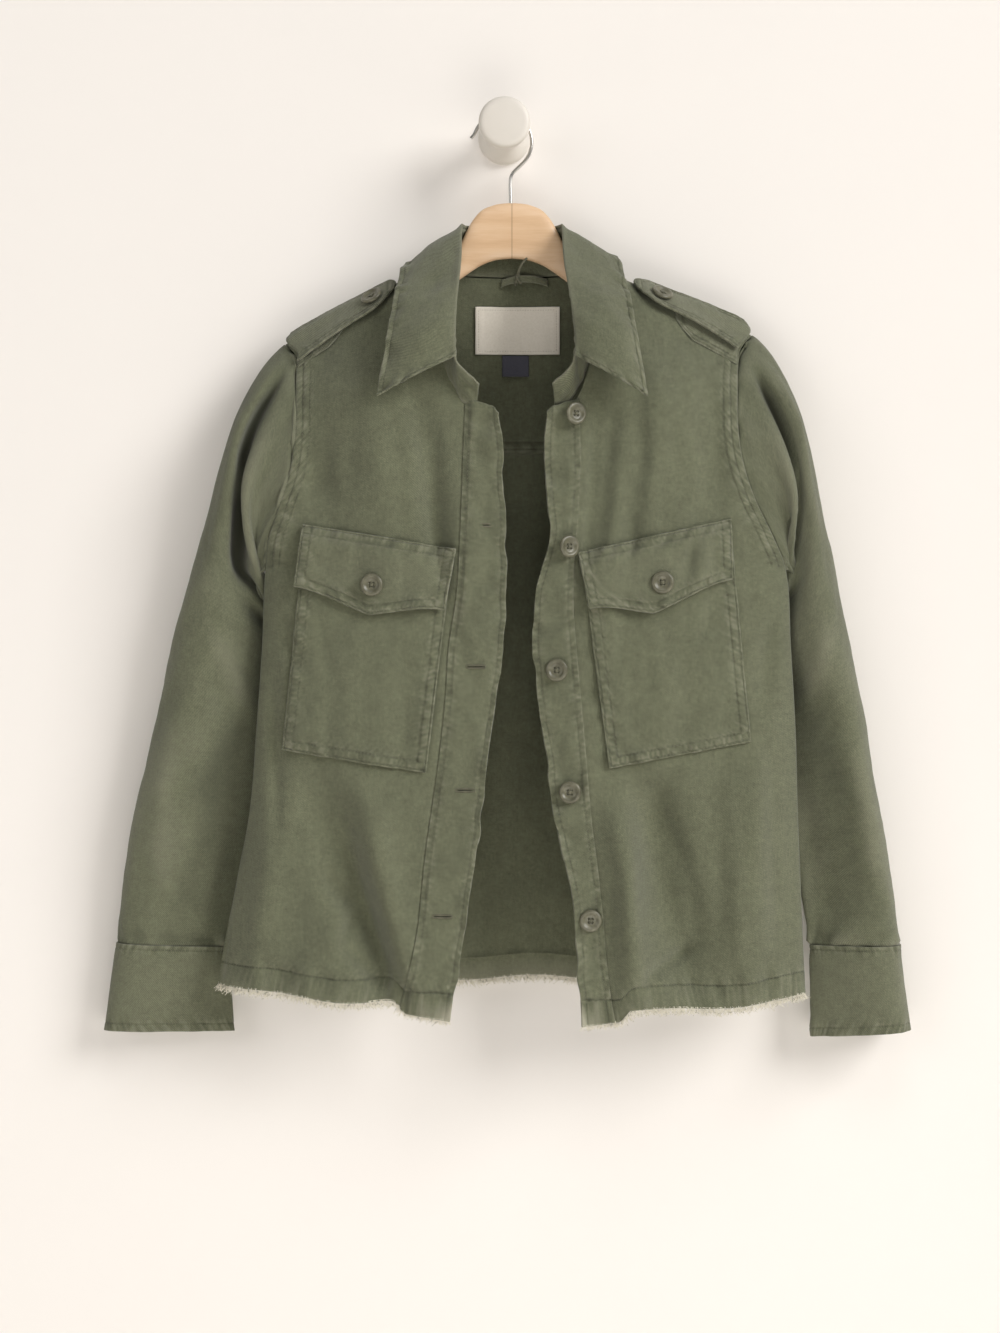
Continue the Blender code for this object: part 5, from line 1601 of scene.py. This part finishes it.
def make_button(name):
    """A turned button with a rim, a dished face and four holes, sewn on with a cross of thread."""
    node = f"button_{name}"
    place = button_place(node)
    profile = (
        (0, 1.9), (3.4, 1.9), (4.6, 2.0), (5.6, 2.5), (6.4, 3.25), (7.3, 3.5), (8.5, 3.3), (9.2, 2.7),
        (BUTTON / 2, 1.9), (9.25, 1.1), (8.3, 0.5), (6.5, 0.2), (0, 0.2),
    )
    scaled = Matrix.Scale(MM, 4) @ place
    piece = put_in_scene(turned(node, profile, 48, scaled), f"{node}_turned", "button")
    drill(piece, scaled)
    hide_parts(node)
    arch = ((1, -0.3), (0.95, 2.1), (0.6, 2.52), (0, 2.65), (-0.6, 2.52), (-0.95, 2.1), (-1, -0.3))
    stitched = []
    for x in (1, -1):
        for beside in (-0.245, 0.0, 0.245):
            line = [(x * HOLE_OUT * k + beside, HOLE_OUT * k - beside * x, high) for k, high in arch]
            stitched.append([place @ Vector(point) for point in line])
    threads(f"{node}_thread", stitched, 0.26, "thread")


def hanger_points(turn, v):
    """The hanger's skin: turn runs round its section, v from the right tip to the left tip."""
    across = HANGER_ARM[-1][0] * (2 * v - 1)
    out = abs(across)
    inner = hanger_line[0](out)
    outer = hanger_line[1](out)
    near = out <= NECK_OUT
    top = np.where(near, inner[0], ridge_height(across) - outer[0] - CLOTH / 2)
    low = np.where(near, inner[1], outer[1] + ridge_height(across) - ridge_height(-out))
    depth = np.where(near, inner[2], outer[2])
    half = np.where(near, inner[3], outer[3])
    angle = 2 * math.pi * turn
    around = np.cos(angle)
    depth = depth + half * np.sign(around) * abs(around) ** 0.8
    return at(across, depth, (top + low) / 2 + (top - low) / 2 * np.sin(angle))


def make_hanger():
    """The hanger, round at its tips and notched where its two halves meet."""
    v = np.linspace(0, 1, 221)[None, :]
    points = hanger_points(np.linspace(0, 1, 49)[:, None], v)
    points[-1] = points[0]
    ends = 1 - 0.45 * np.exp(-np.minimum(v[0], 1 - v[0]) / 0.004)
    middle = points.mean(axis=0, keepdims=True)
    points = middle + (points - middle) * ends[None, :, None]
    points[..., 2] -= 0.5 * bell(points[..., 0] - MIDDLE, 1.2) * (points[..., 2] > middle[..., 2])
    bm, _ = placed_grid(points)
    bmesh.ops.remove_doubles(bm, verts=bm.verts, dist=0.01 * MM)
    bmesh.ops.holes_fill(bm, edges=[edge for edge in bm.edges if edge.is_boundary], sides=0)
    bmesh.ops.recalc_face_normals(bm, faces=bm.faces)
    piece = put_in_scene(mesh_of(bm, "hanger"), "hanger_wood", "wood")
    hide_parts("hanger")


def make_hook():
    """The wire hook: a stem out of the hanger, an arc over the peg and a short bent end."""
    centre = np.array([-1.5, HOOK_Y, PEG_WAIST + SEAM + WIRE / 2 - HOOK_RADIUS])
    stem = np.array([MIDDLE - 1.0, HOOK_Y, 0])
    rise = ((0, -66), (-0.2, -56), (-0.4, -48), (-0.2, -42), (0.9, -39), (2.8, -36.2))
    points = [stem + (x, 0, z) for x, z in rise]
    for degrees in range(-50, 162, 4):
        a = math.radians(degrees)
        points.append(centre + HOOK_RADIUS * np.array([math.cos(a), 0, math.sin(a)]))
    tip = points[-1]
    points += [tip + (x, 0, z) for x, z in ((-0.7, -1.6), (-1.6, -3.2), (-2.8, -4.7), (-4.2, -6.0))]
    piece = threads("hook_wire", [smooth_line(np.array(points), 3)], WIRE / 2, "wire", 6)
    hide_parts("hook")


def smooth_line(points, times):
    """A line of points with its corners rounded off and its ends kept."""
    for _ in range(times):
        near = mix(points[:-1], points[1:], 0.25)
        far = mix(points[:-1], points[1:], 0.75)
        points = np.concatenate([points[:1], np.stack([near, far], axis=1).reshape(-1, 3), points[-1:]])
    return points


def make_peg():
    """The turned peg, from its rounded face back to its foot on the wall."""
    end = PEG_LENGTH
    r = PEG_RADIUS
    w = PEG_WAIST
    profile = (
        (0, end), (r - 6, end), (r - 3.5, end - 0.2), (r - 1.6, end - 0.9), (r - 0.5, end - 2.2),
        (r, end - 4), (r, end - 8), (r - 0.6, end - 10), (r - 3, end - 13), (w + 3.5, end - 16.2),
        (w + 1, end - 19), (w, end - 24), (w, 24), (w + 0.8, 18), (w + 3.2, 12.5), (r - 2, 8), (r, 6),
        (r + 0.7, 4), (r + 0.7, 0.8), (r, 0), (0, 0),
    )
    place = Matrix.Scale(MM, 4) @ Matrix.Rotation(math.pi / 2, 4, "X")
    piece = put_in_scene(turned("peg", profile, 96, place), "peg_turned", "paint")
    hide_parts("peg")


def new_finish(name, colour, roughness, metallic=0.0, **constants):
    """A material's node tree and shader, with its plain values set."""
    made = bpy.data.materials.new(name)
    made.use_nodes = True
    shader = made.node_tree.nodes["Principled BSDF"]
    shader.inputs["Base Color"].default_value = (*colour, 1)
    shader.inputs["Roughness"].default_value = roughness
    shader.inputs["Metallic"].default_value = metallic
    for label, value in constants.items():
        shader.inputs[label.replace("_", " ")].default_value = value
    finishes[name] = made
    return made.node_tree, shader


def add(tree, kind, inputs=None, **settings):
    node = tree.nodes.new(kind)
    for key, value in settings.items():
        setattr(node, key, value)
    for key, value in (inputs or {}).items():
        if hasattr(value, "is_output"):
            tree.links.new(value, node.inputs[key])
        else:
            node.inputs[key].default_value = value
    return node


def place_of(tree, source, scale, turn=0.0):
    """A Mapping node's vector: the piece's own coordinates, turned about Z and scaled."""
    coords = add(tree, "ShaderNodeTexCoord").outputs[source]
    inputs = {"Vector": coords, "Rotation": (0, 0, turn), "Scale": scale}
    return add(tree, "ShaderNodeMapping", inputs).outputs["Vector"]


def object_place(tree, scale=(1, 1, 1), turn=0.0):
    return place_of(tree, "Object", scale, turn)


def cut_place(tree, scale=(1000, 1000, 1000), turn=0.0):
    """Places on the flat cloth, in millimetres unless scaled otherwise."""
    return place_of(tree, "UV", scale, turn)


def sum_of(tree, a, b, factor):
    """a + b * factor"""
    return add(tree, "ShaderNodeMath", {0: b, 1: factor, 2: a}, operation="MULTIPLY_ADD").outputs[0]


def noise_of(tree, vector, scale=1.0, detail=2.0, rough=0.5):
    inputs = {"Vector": vector, "Scale": scale, "Detail": detail, "Roughness": rough}
    return add(tree, "ShaderNodeTexNoise", inputs).outputs["Fac"]


def wave_of(tree, vector, scale, bands, distortion=0.6, **details):
    inputs = {"Vector": vector, "Scale": scale, "Distortion": distortion}
    inputs.update({label.replace("_", " "): value for label, value in details.items()})
    return add(tree, "ShaderNodeTexWave", inputs, bands_direction=bands).outputs["Fac"]


def range_of(tree, value, low, high, to_low=0.0, to_high=1.0):
    inputs = {"Value": value, "From Min": low, "From Max": high, "To Min": to_low, "To Max": to_high}
    return add(tree, "ShaderNodeMapRange", inputs).outputs[0]


def math_of(tree, operation, a, b=0.0, clamp=False):
    return add(tree, "ShaderNodeMath", {0: a, 1: b}, operation=operation, use_clamp=clamp).outputs[0]


def ramp_of(tree, factor, colours):
    """A colour for each value, from pairs of place and colour."""
    ramp = add(tree, "ShaderNodeValToRGB", {"Fac": factor})
    elements = ramp.color_ramp.elements
    for element, (place, colour) in zip(elements, (colours[0], colours[-1])):
        element.position = place
        element.color = (*colour, 1)
    for place, colour in colours[1:-1]:
        elements.new(place).color = (*colour, 1)
    return ramp.outputs["Color"]


def colour_by(tree, shader, factor, colours):
    tree.links.new(ramp_of(tree, factor, colours), shader.inputs["Base Color"])


def bump_of(tree, shader, height, strength, distance):
    bump = add(tree, "ShaderNodeBump", {"Height": height, "Strength": strength, "Distance": distance})
    tree.links.new(bump.outputs["Normal"], shader.inputs["Normal"])


def shaded(colour, share):
    return tuple(share * part for part in colour)


def make_twill():
    """Washed cotton twill: steep ribs, slubs along the warp, faded patches and pale rubbed edges, with
    painted shade in stitch dents and creases and painted light on a sleeve's swells.
    """
    tree, shader = new_finish(
        "twill", OLIVE, 0.93, Sheen_Weight=0.18, Sheen_Roughness=0.6, Specular_IOR_Level=0.25
    )
    cut = cut_place(tree)
    slanted = cut_place(tree, turn=math.radians(32))
    ribs = wave_of(tree, slanted, 0.30, "X", 1.6, Detail=2.0, Detail_Scale=1.4)
    warp = noise_of(tree, cut_place(tree, (1500, 130, 1)))
    weft = noise_of(tree, cut_place(tree, (140, 1300, 1)))
    streak = noise_of(tree, cut_place(tree, (240, 14, 1)), 1.0, 3.0, 0.6)
    grain = noise_of(tree, cut, 0.95, 3.0, 0.7)
    patch = noise_of(tree, cut, 0.022, 4.0, 0.6)
    blotch = noise_of(tree, cut, 0.11, 3.0, 0.6)
    fleck = noise_of(tree, cut, 0.36, 3.0, 0.65)
    tone = ribs
    shares = ((warp, 0.9), (weft, 0.7), (grain, 1.6), (patch, 0.6), (fleck, 1.1), (blotch, 0.7))
    for spots, share in (*shares, (streak, 0.35)):
        tone = sum_of(tree, tone, spots, share)
    colours = ((0.0, shaded(OLIVE, 0.52)), (0.5, OLIVE), (1.0, shaded(OLIVE, 1.62)))
    colour = ramp_of(tree, range_of(tree, tone, 2.5, 4.3), colours)
    wear_and_shade = add(tree, "ShaderNodeAttribute", attribute_name="wear_and_shade").outputs["Fac"]
    # positive values pale the cloth: wear on edges and seams, and painted light on a sleeve's swells;
    # negative values darken it: painted shade in stitch dents and a sleeve's creases, and the dark half of
    # the roping along seams
    paled_by_wear_and_light = blend_of(tree, math_of(tree, "MULTIPLY", wear_and_shade, 0.62, True), colour, (0.34, 0.33, 0.25))
    darkened_by_shade_and_roping = blend_of(tree, math_of(tree, "MULTIPLY", wear_and_shade, -1.0, True), paled_by_wear_and_light, shaded(OLIVE, 0.35))
    tree.links.new(darkened_by_shade_and_roping, shader.inputs["Base Color"])
    bump_of(tree, shader, sum_of(tree, sum_of(tree, ribs, grain, 1.4), warp, 0.6), 0.45, 0.0004)


def blend_of(tree, factor, a, b):
    """The colour a, turned to the colour b by the factor."""
    blend = tree.nodes.new("ShaderNodeMix")
    blend.data_type = "RGBA"
    tree.links.new(factor, blend.inputs[0])
    tree.links.new(a, blend.inputs[6])
    blend.inputs[7].default_value = (*b, 1)
    return blend.outputs[2]


def mottled_finish(name, colour, roughness, scale, colours, detail=2.0, **constants):
    """A finish whose colour varies with one noise."""
    tree, shader = new_finish(name, colour, roughness, **constants)
    colour_by(tree, shader, noise_of(tree, object_place(tree), scale, detail), colours)
    return tree, shader


def woven_finish(name, colour, roughness, sheen, waves, grain, span, colours):
    """A woven tape: the waves of its threads and a fine grain give its colour and its relief."""
    tree, shader = new_finish(name, colour, roughness, Sheen_Weight=sheen)
    cut = cut_place(tree)
    parts = [wave_of(tree, cut, scale, bands) for scale, bands in waves]
    weave = parts[0]
    for part in parts[1:]:
        weave = sum_of(tree, weave, part, 1.0)
    weave = sum_of(tree, weave, noise_of(tree, cut, grain, 3.0), 1.2)
    colour_by(tree, shader, range_of(tree, weave, *span), colours)
    bump_of(tree, shader, weave, 0.3, 0.0001)


def make_wood():
    """Pale varnished wood with its grain lengthwise and a dark joint at the middle."""
    tree, shader = new_finish("wood", (0.76, 0.55, 0.36), 0.40, Coat_Weight=0.25, Coat_Roughness=0.25)
    grain = noise_of(tree, object_place(tree, (14, 60, 130)), 1.0, 5.0, 0.6)
    rings = wave_of(tree, object_place(tree, (1, 5, 10), 0.06), 1.6, "Z", 7.0, Detail=3.0, Detail_Scale=1.4)
    pores = noise_of(tree, object_place(tree, (60, 500, 1200)))
    tone = range_of(tree, sum_of(tree, sum_of(tree, grain, rings, 0.16), pores, 0.30), 0.35, 1.05)
    colours = ((0.0, (0.60, 0.385, 0.215)), (0.5, (0.70, 0.475, 0.285)), (1.0, (0.77, 0.555, 0.36)))
    colour = ramp_of(tree, tone, colours)
    coords = add(tree, "ShaderNodeTexCoord").outputs["Object"]
    across = add(tree, "ShaderNodeSeparateXYZ", {0: coords}).outputs["X"]
    away = math_of(tree, "ABSOLUTE", math_of(tree, "SUBTRACT", across, MIDDLE * MM))
    joint = range_of(tree, away, 0.0003, 0.0009, 0.55, 0.0)
    tree.links.new(blend_of(tree, joint, colour, (0.36, 0.22, 0.12)), shader.inputs["Base Color"])
    bump_of(tree, shader, pores, 0.10, 0.0001)


def make_wire():
    tree, shader = new_finish("wire", (0.60, 0.59, 0.56), 0.28, 1.0)
    drawn = noise_of(tree, object_place(tree), 900.0, 3.0)
    tree.links.new(range_of(tree, drawn, 0.0, 1.0, 0.2, 0.42), shader.inputs["Roughness"])
    bump_of(tree, shader, drawn, 0.08, 0.0001)


def make_finishes():
    make_twill()
    mottled_finish("thread", (0.17, 0.165, 0.10), 0.75, 160.0, (
        (0.3, (0.085, 0.084, 0.050)), (0.7, (0.16, 0.156, 0.10))), Sheen_Weight=0.2)
    mottled_finish("loose_thread", (0.42, 0.39, 0.30), 0.85, 420.0, (
        (0.30, (0.30, 0.28, 0.20)), (0.48, (0.78, 0.74, 0.62))), Sheen_Weight=0.2)
    mottled_finish("pale_thread", (0.50, 0.46, 0.37), 0.8, 300.0, (
        (0.3, (0.52, 0.47, 0.37)), (0.7, (0.72, 0.67, 0.56))))
    # near-black finish of the buttonhole slits: painted shadow in their gaps
    mottled_finish("cut", (0.012, 0.012, 0.008), 0.95, 900.0, (
        (0.3, (0.008, 0.008, 0.005)), (0.7, (0.022, 0.021, 0.014))))
    tree, shader = mottled_finish("button", (0.16, 0.152, 0.095), 0.38, 190.0, (
        (0.32, (0.082, 0.079, 0.048)), (0.55, (0.12, 0.116, 0.074)), (0.75, (0.18, 0.172, 0.118)),
    ), 4.0, Coat_Weight=0.15, Coat_Roughness=0.3)
    bump_of(tree, shader, noise_of(tree, object_place(tree), 2200.0), 0.15, 0.0001)
    woven_finish("label", (0.56, 0.51, 0.42), 0.85, 0.15, ((0.55, "X"), (0.42, "Y")), 0.5, (0.6, 2.6), (
        (0.0, (0.70, 0.64, 0.53)), (0.5, (0.92, 0.86, 0.75)), (1.0, (0.96, 0.91, 0.81))))
    woven_finish("tab", (0.022, 0.023, 0.032), 0.7, 0.3, ((0.5, "Y"),), 0.8, (0.3, 1.8), (
        (0.0, (0.030, 0.030, 0.044)), (1.0, (0.085, 0.086, 0.115))))
    make_wood()
    make_wire()
    tree, shader = mottled_finish("paint", (0.80, 0.745, 0.665), 0.45, 30.0, (
        (0.3, (0.69, 0.65, 0.585)), (0.7, (0.73, 0.69, 0.63))), 4.0)
    bump_of(tree, shader, noise_of(tree, object_place(tree), 140.0, 3.0), 0.08, 0.0004)


def flat_panel(name, corners, colour, see_through_behind=False):
    """A wall or floor of the stage, which glows a little as a pale room does."""
    bm = bmesh.new()
    bmesh.ops.create_grid(bm, x_segments=1, y_segments=1, size=0.5)
    for vert, corner in zip(sorted(bm.verts, key=lambda vert: (vert.co.y, vert.co.x)), corners):
        vert.co = corner
    panel = link(name, mesh_of(bm, name, smooth=False))
    colours = ((0.3, shaded(colour, 0.985)), (0.7, colour))
    tree, shader = mottled_finish(name, colour, 0.95, 3.0, colours, 3.0, Specular_IOR_Level=0.1)
    shader.inputs["Emission Color"].default_value = (1.0, 0.955, 0.90, 1)
    shader.inputs["Emission Strength"].default_value = 0.09
    if see_through_behind:
        behind = add(tree, "ShaderNodeNewGeometry").outputs["Backfacing"]
        clear = add(tree, "ShaderNodeBsdfTransparent").outputs[0]
        chosen = add(tree, "ShaderNodeMixShader", {0: behind, 1: shader.outputs[0], 2: clear})
        tree.links.new(chosen.outputs[0], tree.nodes["Material Output"].inputs["Surface"])
    panel.data.materials.append(finishes[name])
    panel.visible_shadow = False


def soft_light(name, place, aim, size, power, colour):
    lamp = bpy.data.lights.new(name, "AREA")
    lamp.shape = "RECTANGLE"
    lamp.size, lamp.size_y = size
    lamp.energy = power
    lamp.color = colour
    light = link(name, lamp)
    light.location = place
    light.rotation_euler = (Vector(aim) - Vector(place)).to_track_quat("-Z", "Y").to_euler()


def make_stage():
    """The wall and floor, the window's light from the right and weaker ones round it."""
    wall = 0.0004  # in front of the peg's foot, so that the two never share a face
    daylight = (1.0, 0.985, 0.975)
    warm = (1.0, 0.98, 0.95)
    low = -1.6
    wall_corners = ((-4, wall, low), (4, wall, low), (-4, wall, 3), (4, wall, 3))
    flat_panel("wall", wall_corners, (0.80, 0.765, 0.725), True)
    flat_panel("floor", ((-4, -6, low), (4, -6, low), (-4, 4, low), (4, 4, low)), (0.80, 0.77, 0.72))
    soft_light("window", (6.3, -5.1, 3.6), (0.05, 0, -0.45), (4.2, 4.2), 655, daylight)
    soft_light("ceiling", (0.15, -2.1, 2.3), (0, 0, -0.3), (1.3, 1.3), 15, daylight)
    soft_light("fill", (-3.4, -4.0, 0.6), (0, 0, -0.5), (3.0, 3.0), 50, daylight)
    soft_light("bounce", (0.3, -1.9, -1.5), (0.0, 0, -0.75), (1.4, 1.0), 11, warm)
    soft_light("behind", (0.4, 2.4, 0.6), (0, 0, -0.45), (2.0, 2.0), 34, warm)
    world = bpy.data.worlds.new("room")
    bpy.context.scene.world = world
    world.use_nodes = True
    sky = world.node_tree.nodes["Background"]
    sky.inputs["Color"].default_value = (1.0, 0.975, 0.945, 1)
    sky.inputs["Strength"].default_value = 0.05
    bpy.context.scene.view_settings.view_transform = "Standard"


def make_camera():
    """The photograph's view, a little below the jacket's middle and level."""
    lens = bpy.data.cameras.new("camera")
    lens.sensor_fit = "VERTICAL"
    lens.sensor_height = 36
    lens.lens = 66.4
    camera = link("camera", lens)
    camera.location = (-0.0038, -2.15, -0.461)
    camera.rotation_euler = (math.pi / 2, 0, 0)
    bpy.context.scene.camera = camera


def main():
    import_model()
    make_finishes()
    make_camera()
    make_stage()
    for side in SIDES:
        make_front(side)
        make_placket(side)
        make_sleeve(side)
        make_cuff(side)
        make_pocket(side)
        make_flap(side)
        make_strap(side, "strap_base", STRAP_BASES[side], STRAP_BASE_OFF, CLOTH, 181)
        make_strap(side, "strap", STRAPS[side], STRAP_OFF, DOUBLE, 191)
    make_yoke()
    make_back()
    make_stand()
    make_collar()
    make_label()
    make_loop()
    make_fringes()
    make_buttonholes()
    for name in BUTTONS:
        make_button(name)
    make_hanger()
    make_hook()
    make_peg()


main()
